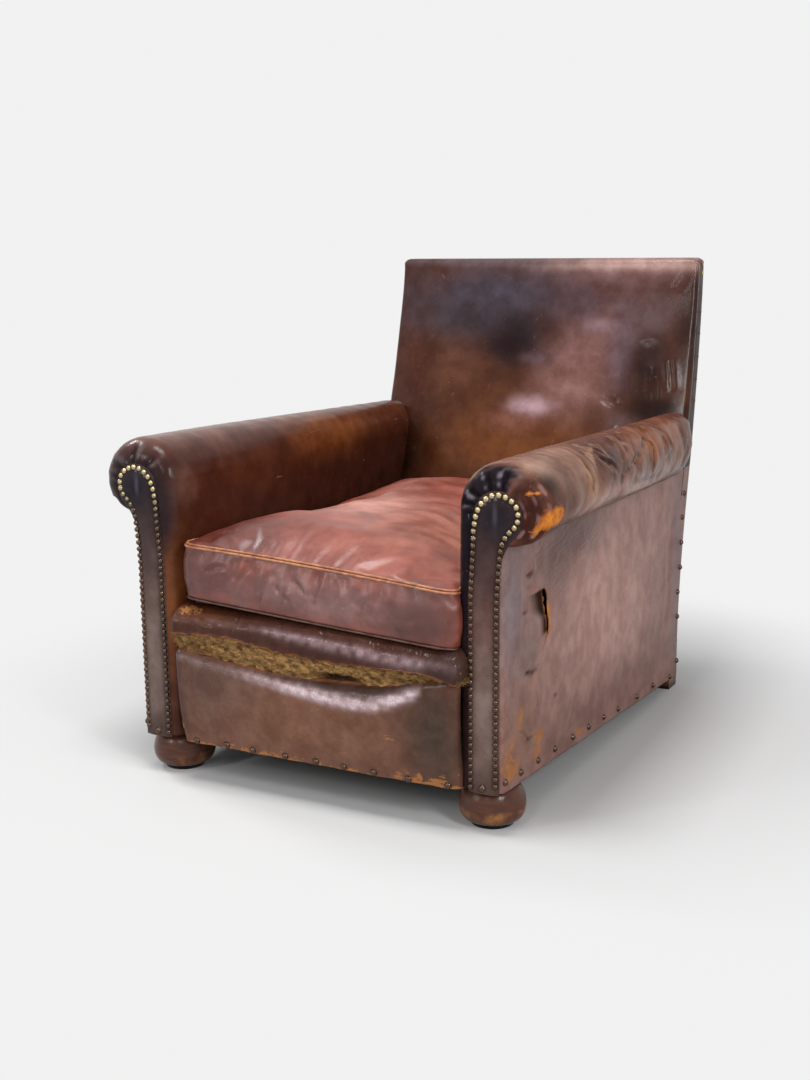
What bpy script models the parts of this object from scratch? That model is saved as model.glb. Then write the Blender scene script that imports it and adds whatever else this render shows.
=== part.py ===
"""A worn leather club chair with scroll arms, built up as an upholsterer builds it.

Metres, +Z up, +X to the right seen from the front, +Y towards the back. The origin is on the floor under
the middle of the chair. Lengths along the chair are measured from the flat front of the arms, the facing
plane, and one empty carries every piece back to the origin. A left or right piece is named as seen from
the front.
"""

import math

import bmesh
import bpy
import numpy as np
from mathutils import Matrix

# Overall size.
WIDTH = 0.770  # over the two arm scrolls
DEPTH = 0.984  # front roll to the top of the outside back
HEIGHT = 0.800
FRONT_OVERHANG = 0.034  # front roll, ahead of the facing plane
FACING_PLANE = FRONT_OVERHANG - DEPTH / 2

# Leather, and the air left between pieces that touch.
LEATHER = 0.0022
GAP = 0.0003
UNDER_LEATHER = LEATHER + GAP
PAD_AIR = 0.0008  # more air, where a curved stuffing follows the curved leather over it
PAD_INSET = UNDER_LEATHER + 0.0012

# The body: outside arm panels, and how the seat has settled.
BODY_HALF = 0.319
SKIRT = 0.064  # lower edge of the leather at the facing plane
SEAT_DROP = 0.058  # fall of the seat for each metre towards the back
SEAT_TWIST = 0.065  # fall of the worn springs for each metre to the right
TAPER_FROM = 0.450
TAPER = 0.063  # how much the back narrows, for each metre above TAPER_FROM

# Side view of the rear post, as (height, distance from the facing plane).
REAR_LINE = ((0.0, 0.826), (0.13, 0.824), (0.25, 0.838), (0.41, 0.870), (0.54, 0.904), (HEIGHT, 0.950))
POST_FRONT = ((0.0, 0.781), (0.13, 0.779), (0.25, 0.790), (0.41, 0.825), (0.53, 0.869), (HEIGHT, 0.917))
BACK_THICK = 0.041  # of the back at its sides

# The timber frame.
POST_INNER = 0.272
POST_OUTER = 0.3163
ARM_POST_BACK = 0.0362
FRONT_RAIL = (0.0365, 0.0725)
RAIL_BOTTOM = 0.0715
RAIL_TOP = 0.165
REAR_RAIL = (0.795, 0.820)
SIDE_RAIL_BACK = 0.7785  # just ahead of the rear post
ARM_RAIL_INNER, ARM_RAIL_OUTER = 0.2675, 0.3123
ARM_RAIL_TOP = 0.447
ARM_RAIL_HEIGHT = 0.047
ARM_DROP = 0.030  # fall of the arm rail for each metre towards the back
BACK_LOWER_RAIL = (0.262, 0.310)
BACK_TOP_RAIL = (0.745, HEIGHT - UNDER_LEATHER)
BLOCK_LEG, BLOCK_HEIGHTS = 0.055, (0.100, 0.160)

# Scroll of the arm post and its facing.
HEAD_X, HEAD_Z, HEAD_RADIUS = 0.311, 0.470, 0.0375
FACING_INNER = 0.2645
FACING_OUTER = 0.3137
POST_PROUD = 0.001  # of the post, past the edge of its facing
ARM_ROUND = 0.0347  # radius of the stuffed front edge

# Feet.
FOOT_X, FOOT_Y = 0.279, 0.052
FOOT_RADIUS = 0.0505
FOOT_TOP = 0.0662
DOWEL_RADIUS, DOWEL_TOP = 0.009, 0.105

# Springing.
WEB_WIDTH, WEB_THICK, WEB_LEVEL = 0.050, 0.0012, 0.0697
LONG_WEB, CROSS_WEB = (0.040, 0.817), (-0.312, 0.312)  # where each seat web's two ends are tacked
SPRING_X = (-0.150, 0.0, 0.150)
SPRING_Y = (0.170, 0.390, 0.610)
SPRING_WIRE, SPRING_END, SPRING_WAIST, SPRING_TURNS = 0.0018, 0.042, 0.029, 4
CANVAS = (0.2325, 0.2340)
DECK_HALF = 0.2375
CLOTH_HALF = 0.306
DECK_FRONT, DECK_BACK = 0.0425, 0.770
DECK_TOP = 0.2890

# Front roll and border.
ROLL_Y, ROLL_Z, ROLL_DEEP, ROLL_HIGH = 0.004, 0.2620, 0.038, 0.027
BORDER_TOP = 0.2355
BORDER_SPAN = (-0.238, 0.256)

# Loose cushion.
CUSHION_HALF, CUSHION_FRONT, CUSHION_BACK = 0.2305, -0.018, 0.706
CUSHION_BOTTOM, CUSHION_EDGE, CUSHION_CROWN = 0.2922, 0.3800, 0.4080
CUSHION_CORNER = 0.030
PIPING = 0.0033
SEAM_PART, SEAM_RISE = 0.990, 0.006  # the seams, inside the bulge of the boxing and over the underside

# Back.
BACK_FOOT = 0.2665
LUMBAR_Z, LUMBAR_Y, BACK_RAKE = 0.360, 0.720, 0.417

FINISHES = {
    "leather": ((0.120, 0.052, 0.030), 0.45, 0.0),
    "cushion": ((0.270, 0.085, 0.050), 0.45, 0.0),
    "piping": ((0.420, 0.180, 0.060), 0.50, 0.0),
    "beech": ((0.480, 0.300, 0.170), 0.60, 0.0),
    "stained wood": ((0.150, 0.065, 0.035), 0.35, 0.0),
    "coir": ((0.330, 0.210, 0.095), 0.95, 0.0),
    "horsehair": ((0.100, 0.070, 0.050), 0.95, 0.0),
    "webbing": ((0.420, 0.330, 0.210), 0.90, 0.0),
    "cloth": ((0.060, 0.055, 0.050), 0.95, 0.0),
    "spring wire": ((0.300, 0.280, 0.260), 0.40, 1.0),
}


# ---------------------------------------------------------------- scene and objects


def clear_scene():
    for obj in list(bpy.data.objects):
        bpy.data.objects.remove(obj)


def collection(name, helper=False):
    made = bpy.data.collections.new(name)
    bpy.context.scene.collection.children.link(made)
    made.hide_render = helper
    return made


clear_scene()
CHAIR = collection("club_chair")
CUTTERS = collection("cutters", helper=True)
ORIGIN = bpy.data.objects.new("facing_plane", None)
ORIGIN.location.y = FACING_PLANE
CHAIR.objects.link(ORIGIN)


def finish(name, kind):
    colour, roughness, metallic = FINISHES[kind]
    made = bpy.data.materials.new(name)
    made.use_nodes = True
    shader = made.node_tree.nodes["Principled BSDF"]
    shader.inputs["Base Color"].default_value = (*colour, 1.0)
    shader.inputs["Roughness"].default_value = roughness
    shader.inputs["Metallic"].default_value = metallic
    return made


def cutter(name, obj):
    """Keeps an object, or a mesh, as a shape that only cuts others."""
    if isinstance(obj, bpy.types.Mesh):
        obj = bpy.data.objects.new(name, obj)
    obj.name = name
    obj.parent = ORIGIN
    CUTTERS.objects.link(obj)
    obj.hide_render = True
    obj.display_type = "WIRE"
    return obj


def piece(name, mesh, kind, smooth=True):
    """A named piece of the chair."""
    obj = bpy.data.objects.new(name, mesh)
    obj.parent = ORIGIN
    CHAIR.objects.link(obj)
    mesh.materials.append(finish(name, kind))
    if smooth:
        mesh.shade_smooth()
        mesh.set_sharp_from_angle(angle=math.radians(40))
    return obj


def solidify(obj, thickness, side):
    """Gives an open sheet its thickness, on the side that its faces point away from (-1) or to (1)."""
    modifier = obj.modifiers.new("thickness", "SOLIDIFY")
    modifier.thickness = thickness
    modifier.offset = side
    modifier.use_even_offset = True


def cut(obj, *cutters):
    for cutter in cutters:
        modifier = obj.modifiers.new(cutter.name, "BOOLEAN")
        modifier.operation = "DIFFERENCE"
        modifier.solver = "EXACT"
        modifier.object = cutter


def mirrored(mesh):
    other = mesh.copy()
    other.transform(Matrix.Scale(-1, 4, (1, 0, 0)))
    other.flip_normals()
    return other


def settle(mesh, twist=0.0):
    """Lowers a level piece in proportion to its distance back, and to the right, as the seat slopes."""
    mesh.transform(Matrix(((1, 0, 0, 0), (0, 1, 0, 0), (-twist, -SEAT_DROP, 1, 0), (0, 0, 0, 1))))
    return mesh


# ---------------------------------------------------------------- shapes


def box(low, high):
    shape = bmesh.new()
    bmesh.ops.create_cube(shape, size=1.0)
    low, high = np.array(low), np.array(high)
    for vertex in shape.verts:
        vertex.co = low + (np.array(vertex.co) + 0.5) * (high - low)
    mesh = bpy.data.meshes.new("box")
    shape.to_mesh(mesh)
    shape.free()
    return mesh


def from_curve(curve):
    """The mesh of a curve, with its caps welded to its sides."""
    holder = bpy.data.objects.new("curve", curve)
    bpy.context.scene.collection.objects.link(holder)
    graph = bpy.context.evaluated_depsgraph_get()
    mesh = bpy.data.meshes.new_from_object(holder.evaluated_get(graph))
    bpy.data.objects.remove(holder)
    shape = bmesh.new()
    shape.from_mesh(mesh)
    bmesh.ops.remove_doubles(shape, verts=shape.verts, dist=1e-6)
    bmesh.ops.recalc_face_normals(shape, faces=shape.faces)
    shape.to_mesh(mesh)
    shape.free()
    return mesh


def board(outline, across, near, far):
    """A flat piece: an outline in the two axes other than across, extruded from near to far along it.

    The outline's first coordinate is X, unless across is X, where it is Y.
    """
    curve = bpy.data.curves.new("outline", "CURVE")
    curve.dimensions = "2D"
    curve.fill_mode = "BOTH"
    curve.extrude = (far - near) / 2
    spline = curve.splines.new("POLY")
    spline.points.add(len(outline) - 1)
    for point, (first, second) in zip(spline.points, outline):
        point.co = (first, second, 0.0, 1.0)
    spline.use_cyclic_u = True
    mesh = from_curve(curve)
    middle = (near + far) / 2
    turn = {
        "X": Matrix(((0, 0, 1, middle), (1, 0, 0, 0), (0, 1, 0, 0), (0, 0, 0, 1))),
        "Y": Matrix(((1, 0, 0, 0), (0, 0, -1, middle), (0, 1, 0, 0), (0, 0, 0, 1))),
        "Z": Matrix.Translation((0, 0, middle)),
    }
    mesh.transform(turn[across])
    return mesh


def tube(points, radius, closed=False):
    curve = bpy.data.curves.new("tube", "CURVE")
    curve.dimensions = "3D"
    curve.bevel_depth = radius
    curve.bevel_resolution = 1
    curve.use_fill_caps = not closed
    spline = curve.splines.new("POLY")
    spline.points.add(len(points) - 1)
    for point, place in zip(spline.points, points):
        point.co = (*place, 1.0)
    spline.use_cyclic_u = closed
    return from_curve(curve)


def loft(rings, closed=False):
    """A skin through rings of points, all with the same count; closed rings also get end caps."""
    rings = np.asarray(rings, float)
    count, around = rings.shape[:2]
    last = around if closed else around - 1
    faces = []
    for ring in range(count - 1):
        for start in range(last):
            end = (start + 1) % around
            low, high = ring * around, (ring + 1) * around
            faces.append((low + start, low + end, high + end, high + start))
    if closed:
        faces.append(tuple(range(around))[::-1])
        faces.append(tuple(range((count - 1) * around, count * around)))
    mesh = bpy.data.meshes.new("loft")
    mesh.from_pydata(rings.reshape(-1, 3).tolist(), [], faces)
    shape = bmesh.new()
    shape.from_mesh(mesh)
    bmesh.ops.remove_doubles(shape, verts=shape.verts, dist=1e-6)
    if closed:
        bmesh.ops.recalc_face_normals(shape, faces=shape.faces)
    shape.to_mesh(mesh)
    shape.free()
    return mesh


def quadratic(start, control, end, count):
    """Points on a quadratic curve, without its first one."""
    t = np.linspace(0, 1, count + 1)[1:, None]
    return (1 - t) ** 2 * np.array(start) + 2 * t * (1 - t) * np.array(control) + t**2 * np.array(end)


def line_at(line, height):
    """Distance from the facing plane of a side-view line at a height."""
    heights, distances = zip(*line)
    return np.interp(height, heights, distances)


def narrowed(mesh):
    """Narrows a piece of the back towards its top."""
    for vertex in mesh.vertices:
        vertex.co.x *= 1 - TAPER * max(0.0, vertex.co.z - TAPER_FROM)
    return mesh


# ---------------------------------------------------------------- timber frame


def scroll_outline(grow, foot, under=45, waist_fall=2.4):
    """The scroll shape of an arm front, as (x, z): up its inner side, round the head and down the outer.

    The head's arc ends under degrees below level, and the waist runs from there into the straight edge.
    """
    radius = HEAD_RADIUS + grow
    outer = min(FACING_OUTER + grow, POST_OUTER)
    angles = np.radians(np.linspace(180, -under, 11))
    head = np.stack([HEAD_X + radius * np.cos(angles), HEAD_Z + radius * np.sin(angles)], 1)
    drop = head[-1][0] - outer
    waist = quadratic(head[-1], (outer, head[-1][1] - drop), (outer, head[-1][1] - waist_fall * drop), 4)
    inner = FACING_INNER - grow
    return [(inner, foot), (inner, 0.35), *map(tuple, head), *map(tuple, waist), (outer, foot)]


def arm_post(grow=0.0):
    """The shaped upright under the facing, tighter at its waist than the leather."""
    outline = scroll_outline(POST_PROUD + grow, SKIRT + UNDER_LEATHER - grow, under=70, waist_fall=1.4)
    return board(outline, "Y", UNDER_LEATHER + GAP - grow, ARM_POST_BACK + grow)


def arm_rail_top(y):
    return ARM_RAIL_TOP - ARM_DROP * (y - FRONT_RAIL[0])


def rear_post_outline():
    """Side view of the plank that is rear leg below the seat and back post above it, as (y, z)."""
    front = [(y, z) for z, y in POST_FRONT[:-1]]
    back = [(y - UNDER_LEATHER, z) for z, y in REAR_LINE[:-1]]
    top = HEIGHT - UNDER_LEATHER
    front.append((float(line_at(POST_FRONT, top)), top))
    back.append((float(line_at(REAR_LINE, top)) - UNDER_LEATHER, top))
    return front + back[::-1]


def build_frame():
    for side, sign in (("left", -1), ("right", 1)):
        flip = (lambda mesh: mesh) if sign > 0 else mirrored
        piece(f"arm_post_{side}", flip(arm_post()), "beech")
        post = narrowed(board(rear_post_outline(), "X", POST_INNER, POST_OUTER))
        piece(f"rear_leg_post_{side}", flip(post), "stained wood")
        rail = box((POST_INNER, FRONT_RAIL[1] + GAP, RAIL_BOTTOM), (POST_OUTER, SIDE_RAIL_BACK, RAIL_TOP))
        piece(f"side_rail_{side}", flip(settle(rail)), "beech")
        arm = [(float(line_at(POST_FRONT, z)) - GAP, z) for z in (0.376, 0.41, arm_rail_top(0.829))]
        arm = [(FRONT_RAIL[0], ARM_RAIL_TOP - ARM_RAIL_HEIGHT), *arm, (FRONT_RAIL[0], ARM_RAIL_TOP)]
        piece(f"arm_rail_{side}", flip(board(arm, "X", ARM_RAIL_INNER, ARM_RAIL_OUTER)), "beech")
        corners = (("front", FRONT_RAIL[1] + GAP, BLOCK_LEG), ("rear", REAR_RAIL[0] - GAP, -BLOCK_LEG))
        for end, corner, reach in corners:
            inner = POST_INNER - GAP
            wedge = [(inner, corner), (inner - BLOCK_LEG, corner), (inner, corner + reach)]
            block = settle(board(wedge, "Z", *BLOCK_HEIGHTS))
            piece(f"corner_block_{end}_{side}", flip(block), "beech")
    front = piece(
        "front_rail",
        settle(box((-POST_OUTER, FRONT_RAIL[0], RAIL_BOTTOM), (POST_OUTER, FRONT_RAIL[1], RAIL_TOP))),
        "beech",
    )
    hole_radius, hole_top = DOWEL_RADIUS + GAP, DOWEL_TOP + GAP
    for side, sign in (("left", -1), ("right", 1)):
        hole = turned([(0.0, hole_top), (hole_radius, hole_top), (hole_radius, 0.0), (0.0, 0.0)])
        hole.location = (sign * FOOT_X, FOOT_Y, 0)
        cut(front, cutter(f"dowel_hole_{side}", hole))
    rear = box((-POST_INNER + GAP, REAR_RAIL[0], RAIL_BOTTOM), (POST_INNER - GAP, REAR_RAIL[1], RAIL_TOP))
    piece("rear_rail", settle(rear), "beech")
    for name, heights in (("back_lower_rail", BACK_LOWER_RAIL), ("back_top_rail", BACK_TOP_RAIL)):
        near = [(float(line_at(POST_FRONT, z)), z) for z in heights]
        far = [(float(line_at(REAR_LINE, z)) - UNDER_LEATHER, z) for z in heights]
        half = (POST_INNER - GAP) * (1 - TAPER * max(0.0, heights[1] - TAPER_FROM)) - GAP
        piece(name, board(near + far[::-1], "X", -half, half), "beech")


# ---------------------------------------------------------------- feet


def turned(profile, steps=20):
    """An object turned about Z from a profile of (radius, height) that runs down its outer side."""
    mesh = bpy.data.meshes.new("profile")
    mesh.from_pydata([(r, 0, z) for r, z in profile], [(i, i + 1) for i in range(len(profile) - 1)], [])
    obj = bpy.data.objects.new("turned", mesh)
    screw = obj.modifiers.new("lathe", "SCREW")
    screw.steps = screw.render_steps = steps
    screw.use_merge_vertices = True
    screw.merge_threshold = 0.0001
    return obj


def build_feet():
    """Flattened bun feet: a dowel, a short neck and a ball worn flat underneath."""
    middle, sole = 0.029, 0.033
    neck = FOOT_RADIUS - 0.017
    upper = np.radians(np.linspace(84, 0, 6))
    lower = np.radians(np.linspace(0, -90, 7))[1:]
    bun = [(neck + 0.017 * math.cos(a), middle + 0.0335 * math.sin(a)) for a in upper]
    bun += [(sole + (FOOT_RADIUS - sole) * math.cos(a), middle + middle * math.sin(a)) for a in lower]
    stem = [(0.0, DOWEL_TOP), (DOWEL_RADIUS, DOWEL_TOP), (DOWEL_RADIUS, FOOT_TOP), (0.034, FOOT_TOP)]
    for side, sign in (("left", -1), ("right", 1)):
        foot = turned(stem + bun + [(0.0, 0.0)])
        foot.name = f"front_foot_{side}"
        foot.parent = ORIGIN
        foot.location = (sign * FOOT_X, FOOT_Y, 0)
        foot.data.materials.append(finish(foot.name, "stained wood"))
        foot.modifiers["lathe"].use_smooth_shade = True
        CHAIR.objects.link(foot)


# ---------------------------------------------------------------- webbing, springs and canvas


def strap(length, crossings, first_over):
    """Side view of a woven strap as (distance, height): over and under the straps that it crosses."""
    lift = (WEB_THICK + GAP) / 2
    ends = RAIL_BOTTOM - GAP - WEB_THICK / 2 - WEB_LEVEL
    stations, heights = [length[0]], [ends]
    for index, place in enumerate(crossings):
        level = lift if (index % 2 == 0) == first_over else -lift
        stations += [place - WEB_WIDTH * 0.62, place + WEB_WIDTH * 0.62]
        heights += [level, level]
    stations.append(length[1])
    heights.append(ends)
    upper = [(s, WEB_LEVEL + h + WEB_THICK / 2) for s, h in zip(stations, heights)]
    lower = [(s, WEB_LEVEL + h - WEB_THICK / 2) for s, h in zip(stations, heights)]
    return upper + lower[::-1]


def build_webbing():
    half = WEB_WIDTH / 2
    for index, x in enumerate(SPRING_X):
        outline = strap(LONG_WEB, SPRING_Y, index % 2 == 0)
        mesh = settle(board(outline, "X", x - half, x + half))
        piece(f"seat_web_long_{index + 1}", mesh, "webbing", False)
    for index, y in enumerate(SPRING_Y):
        outline = strap(CROSS_WEB, SPRING_X, index % 2 == 1)
        mesh = settle(board(outline, "Y", y - half, y + half))
        piece(f"seat_web_cross_{index + 1}", mesh, "webbing", False)
    heights = (0.270, 0.41, 0.53, 0.790)
    near = [(float(line_at(POST_FRONT, z)) - GAP - WEB_THICK, z) for z in heights]
    far = [(y + WEB_THICK, z) for y, z in near]
    for index, x in enumerate(SPRING_X):
        mesh = board(near + far[::-1], "X", x - half, x + half)
        piece(f"back_web_{index + 1}", mesh, "webbing", False)


def build_springs():
    """Waisted coils standing on the crossings of the webs and leaning with the settled seat."""
    low = WEB_LEVEL + WEB_THICK + GAP + SPRING_WIRE + 0.0006
    high = CANVAS[0] - GAP - SPRING_WIRE - 0.0003
    turn = np.linspace(0, SPRING_TURNS * 2 * math.pi, SPRING_TURNS * 8 + 1)
    part = np.clip((turn / turn[-1] - 0.06) / 0.88, 0, 1)
    radius = SPRING_WAIST + (SPRING_END - SPRING_WAIST) * (2 * part - 1) ** 2
    for row, y in enumerate(SPRING_Y):
        for column, x in enumerate(SPRING_X):
            px, py = x + radius * np.cos(turn), y + radius * np.sin(turn)
            pz = low + (high - low) * part - SEAT_TWIST * px * part - SEAT_DROP * py
            name = f"seat_spring_{row * len(SPRING_X) + column + 1}"
            piece(name, tube(np.stack([px, py, pz], 1), SPRING_WIRE), "spring wire")


def build_deck():
    """Canvas over the springs, the hair on it, the cover of the hair, and the cloth under the seat.

    The cloth is cut away around the two front feet and the two rear legs.
    """
    layers = (
        ("spring_canvas", CANVAS[0], CANVAS[1], "webbing"),
        ("seat_stuffing", CANVAS[1] + GAP, DECK_TOP, "horsehair"),
        ("seat_platform_cover", DECK_TOP + GAP, CUSHION_BOTTOM - 2 * GAP, "cloth"),
    )
    for name, low, high, kind in layers:
        mesh = box((-DECK_HALF, DECK_FRONT, low), (DECK_HALF, DECK_BACK, high))
        piece(name, settle(mesh, twist=SEAT_TWIST), kind)
    half, front, back = CLOTH_HALF, 0.020, 0.818
    foot_inner, foot_back = FOOT_X - FOOT_RADIUS - GAP, 0.105
    leg_inner, leg_front = 0.265, 0.765
    right = [(foot_inner, front), (foot_inner, foot_back), (half, foot_back)]
    right += [(half, leg_front), (leg_inner, leg_front), (leg_inner, back)]
    outline = right + [(-x, y) for x, y in right[::-1]]
    cloth = board(outline, "Z", WEB_LEVEL - 0.0027, WEB_LEVEL - 0.0017)
    piece("bottom_cloth", settle(cloth), "cloth", False)


# ---------------------------------------------------------------- arms


def roll_path(foot_x, inner, middle, outer, centre, up, down, foot, end_x=None):
    """Half-round over an arm in section, as (x, z): up the inside, over the roll and in under it."""
    last = -math.radians(86) if end_x is None else -math.acos((end_x - middle) / (outer - middle))
    over = np.radians(np.linspace(180, 0, 9))
    under = np.linspace(0, last, 5)[1:]
    left = np.where(np.cos(over) < 0, middle - inner, outer - middle)
    top = np.stack([middle + left * np.cos(over), centre + up * np.sin(over)], 1)
    lip = np.stack([middle + (outer - middle) * np.cos(under), centre + down * np.sin(under)], 1)
    return np.concatenate([[(foot_x, foot), (foot_x, 0.35)], top, lip])


def arm_section(y, inset=0.0, foot=0.185):
    """The arm in section at y: the roll gets lower and narrower towards the back."""
    along = y / 0.86
    inner = 0.241 + 0.007 * along + inset
    middle = 0.313 - 0.018 * along**2
    outer = WIDTH / 2 - 0.055 * along**2 - inset
    centre = HEAD_Z + 0.010 - 0.025 * y
    up, down = 0.072 - 0.012 * y - inset, 0.055 + 0.006 * y - inset
    return roll_path(inner, inner, middle, outer, centre, up, down, foot, BODY_HALF - 0.0007)


def arm_rings(inset=0.0):
    """Sections from the facing, over the stuffed front edge, along the arm and in against the rear post."""
    rings = []
    front_foot = SKIRT + 0.003
    tacked = roll_path(0.2715, 0.281, HEAD_X, 0.341, HEAD_Z, 0.030, 0.030, front_foot)
    head = roll_path(0.262, 0.2715, HEAD_X, 0.3505, HEAD_Z, 0.0395, 0.0395, front_foot)
    rings.append((tacked, np.full(len(tacked), GAP + inset)))
    full = arm_section(ARM_ROUND, inset)
    for angle in np.radians((0, 25, 50, 70, 90)):
        ring = head + (full - head) * math.sin(angle)
        if angle < 1.3:
            ring[0, 1] = front_foot
        y = GAP + inset + (ARM_ROUND - inset) * (1 - math.cos(angle))
        rings.append((ring, np.full(len(ring), y)))
    for y in (0.20, 0.40, 0.60, 0.75):
        rings.append((arm_section(y, inset), np.full(len(head), y)))
    full = arm_section(0.75, inset)
    rear = arm_section(0.85, inset)
    last = rear[-1]
    rear[:, 0] = np.minimum(rear[:, 0], BODY_HALF - inset)
    rear[2:, 1] = HEAD_Z - 0.012 + (rear[2:, 1] - HEAD_Z + 0.012) * 0.86
    rear[-1] = last[0], rear[-1, 1]
    for angle in np.radians((35, 65, 90)):
        ring = full + (rear - full) * (1 - math.cos(angle))
        end = line_at(POST_FRONT, ring[:, 1]) - np.where(ring[:, 1] < 0.36, 0.016, 0.001)
        rings.append((ring, 0.75 + (end - 0.75) * math.sin(angle)))
    return [np.stack([ring[:, 0], y, ring[:, 1]], 1) for ring, y in rings]


def build_arms():
    leather = loft(arm_rings())
    inner_x, outer_x = ARM_RAIL_INNER - 0.0005, ARM_RAIL_OUTER + 0.0005
    pads = []
    for ring in arm_rings(PAD_INSET):
        foot, end = ring[0], ring[-1]
        rail_top = arm_rail_top(end[1]) + 2 * GAP
        stop = min(end[1], line_at(POST_FRONT, rail_top) - 0.001)
        top, low = max(inner_x, ring[2][0] + 0.002), max(inner_x, foot[0] + 0.002)
        inside = [(min(outer_x, end[0]), stop, rail_top), (top, stop, rail_top), (low, *foot[1:])]
        pads.append(np.concatenate([ring, inside]))
    pad = loft(pads, closed=True)
    for side, flip in (("left", mirrored), ("right", lambda mesh: mesh)):
        obj = piece(f"arm_leather_{side}", flip(leather.copy()), "leather")
        solidify(obj, LEATHER, -1)
        stuffing = piece(f"arm_stuffing_{side}", flip(pad.copy()), "horsehair")
        room = cutter(f"arm_post_room_{side}", flip(arm_post(GAP)))
        cut(obj, room)
        cut(stuffing, room)
        facing = board(scroll_outline(0.0, SKIRT), "Y", -LEATHER, 0.0)
        piece(f"facing_{side}", flip(facing), "leather")
        panel = piece(f"outside_arm_leather_{side}", flip(outside_arm()), "leather")
        solidify(panel, LEATHER, -1)
        if side == "right":
            cut(panel, tear_cutter())


def outside_arm():
    """The flat outside panel, turned onto the arm front ahead of it and ending at the outside back."""
    stations = (0.010, 0.20, 0.40, 0.60, 0.75, 0.80, 0.835)
    upper, lower = [], []
    edge = np.array([arm_section(y)[-1][1] for y in stations]) - 0.003
    top = dict(zip(stations, edge))
    for x, y in [(0.306, GAP), (BODY_HALF, GAP)] + [(BODY_HALF, y) for y in stations]:
        upper.append((x, y, top.get(y, edge[0])))
        lower.append((x, y, SKIRT - SEAT_DROP * y))
    heights = np.linspace(0, 1, 8)
    rings = [np.array(lower) + (np.array(upper) - np.array(lower)) * part for part in heights]
    end = [line_at(REAR_LINE, ring[-1][2]) - UNDER_LEATHER - 0.0008 for ring in rings]
    for ring, y in zip(rings, end):
        ring[-1][1] = y
    rings[0][-1][2] = SKIRT - SEAT_DROP * rings[0][-1][1]
    return loft(rings)


def tear_cutter():
    """A curved, pointed tear through the near outside panel, widest above its middle."""
    top, bottom, centre, widest = 0.338, 0.236, 0.142, 0.014
    part = np.linspace(0, 1, 9)
    z = top + (bottom - top) * part
    bow = centre + 0.018 * np.sin(math.pi * part) - 0.012 * part
    width = widest * np.sin(math.pi * part**0.8)
    front = [(y - w / 2, h) for y, h, w in zip(bow, z, width)]
    back = [(y + w / 2, h) for y, h, w in zip(bow, z, width)]
    outline = front + back[-2:0:-1]
    return cutter("tear", board(outline, "X", BODY_HALF - 0.02, BODY_HALF + 0.02))


# ---------------------------------------------------------------- front roll and border


def sag(x):
    return -0.030 * x - 0.12 * x**2


def build_front():
    """The stuffed front roll with its split leather, and the bulging border below it."""
    angles = np.radians(np.linspace(22, 202, 11))
    rings = []
    for x in (-0.2385, -0.225, -0.15, -0.05, 0.05, 0.15, 0.225, 0.2385):
        shrink = 0.85 if abs(x) > 0.23 else 1.0
        y = ROLL_Y + ROLL_DEEP * shrink * np.cos(angles)
        z = ROLL_Z + sag(x) + ROLL_HIGH * shrink * np.sin(angles)
        rings.append(np.stack([np.full(len(angles), x), y, z], 1))
    roll = piece("front_roll_leather", loft(rings), "leather")
    solidify(roll, LEATHER, -1)
    stuffing = []
    angles = np.radians(np.linspace(0, 330, 12))
    deep, high = ROLL_DEEP - UNDER_LEATHER - PAD_AIR, ROLL_HIGH - UNDER_LEATHER - PAD_AIR
    for x in (-0.2365, -0.222, -0.11, 0.0, 0.11, 0.222, 0.2365):
        size = 0.80 if abs(x) > 0.23 else 1.0
        y = ROLL_Y + deep * size * np.cos(angles)
        z = ROLL_Z + sag(x) + high * size * np.sin(angles)
        stuffing.append(np.stack([np.full(len(angles), x), y, z], 1))
    piece("front_roll_stuffing", loft(stuffing, closed=True), "coir")
    build_border()


def border_face(part):
    """Distance of the border's face from the facing plane, from its foot (0) to its top (1)."""
    return -0.004 - 0.023 * math.sin(math.pi * min(1.0, part * 1.02) ** 1.4) - 0.004 * part


def build_border():
    parts = np.linspace(0, 1, 9)
    rings = []
    for x in (BORDER_SPAN[0], -0.15, -0.05, 0.05, 0.15, BORDER_SPAN[1]):
        top = BORDER_TOP + sag(x) - 0.002
        flat = 0.55 if x in BORDER_SPAN else 1.0
        ring = [(x, border_face(p) * flat, SKIRT + (top - SKIRT) * p) for p in parts]
        rings.append(ring)
    leather = piece("front_border_leather", loft(rings), "leather")
    solidify(leather, LEATHER, 1)
    stuffing = []
    for x in (-0.235, -0.15, -0.05, 0.05, 0.15, 0.235):
        top = BORDER_TOP + sag(x) - 0.001
        flat = 0.45 if abs(x) > 0.2 else 1.0
        face = [
            (x, border_face(p) * flat + UNDER_LEATHER + 0.0018, SKIRT + 0.006 + (top - SKIRT - 0.006) * p)
            for p in parts
        ]
        rail = FRONT_RAIL[0] - GAP
        stuffing.append(face + [(x, rail, top), (x, rail, SKIRT + 0.006)])
    piece("front_border_stuffing", loft(stuffing, closed=True), "horsehair")


# ---------------------------------------------------------------- back


def back_edge(z):
    """Front of the back at its sides, kept ahead of the posts."""
    return min(line_at(REAR_LINE, z) - BACK_THICK, line_at(POST_FRONT, z) - 0.009)


def back_face(x, z):
    """Front of the stuffed back: swollen in the middle, lowest at the lumbar, pulled in at its edges."""
    edge = back_edge(z)
    swell = LUMBAR_Y + max(0.0, z - LUMBAR_Z) * BACK_RAKE
    return edge - max(0.0, edge - swell) * (1 - min(1.0, abs(x) / BODY_HALF) ** 3)


BACK_HEIGHTS = (BACK_FOOT, 0.31, 0.36, 0.41, 0.47, 0.53, 0.60, 0.67, 0.74)
BACK_COLUMNS = np.linspace(-1, 1, 11)


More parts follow.
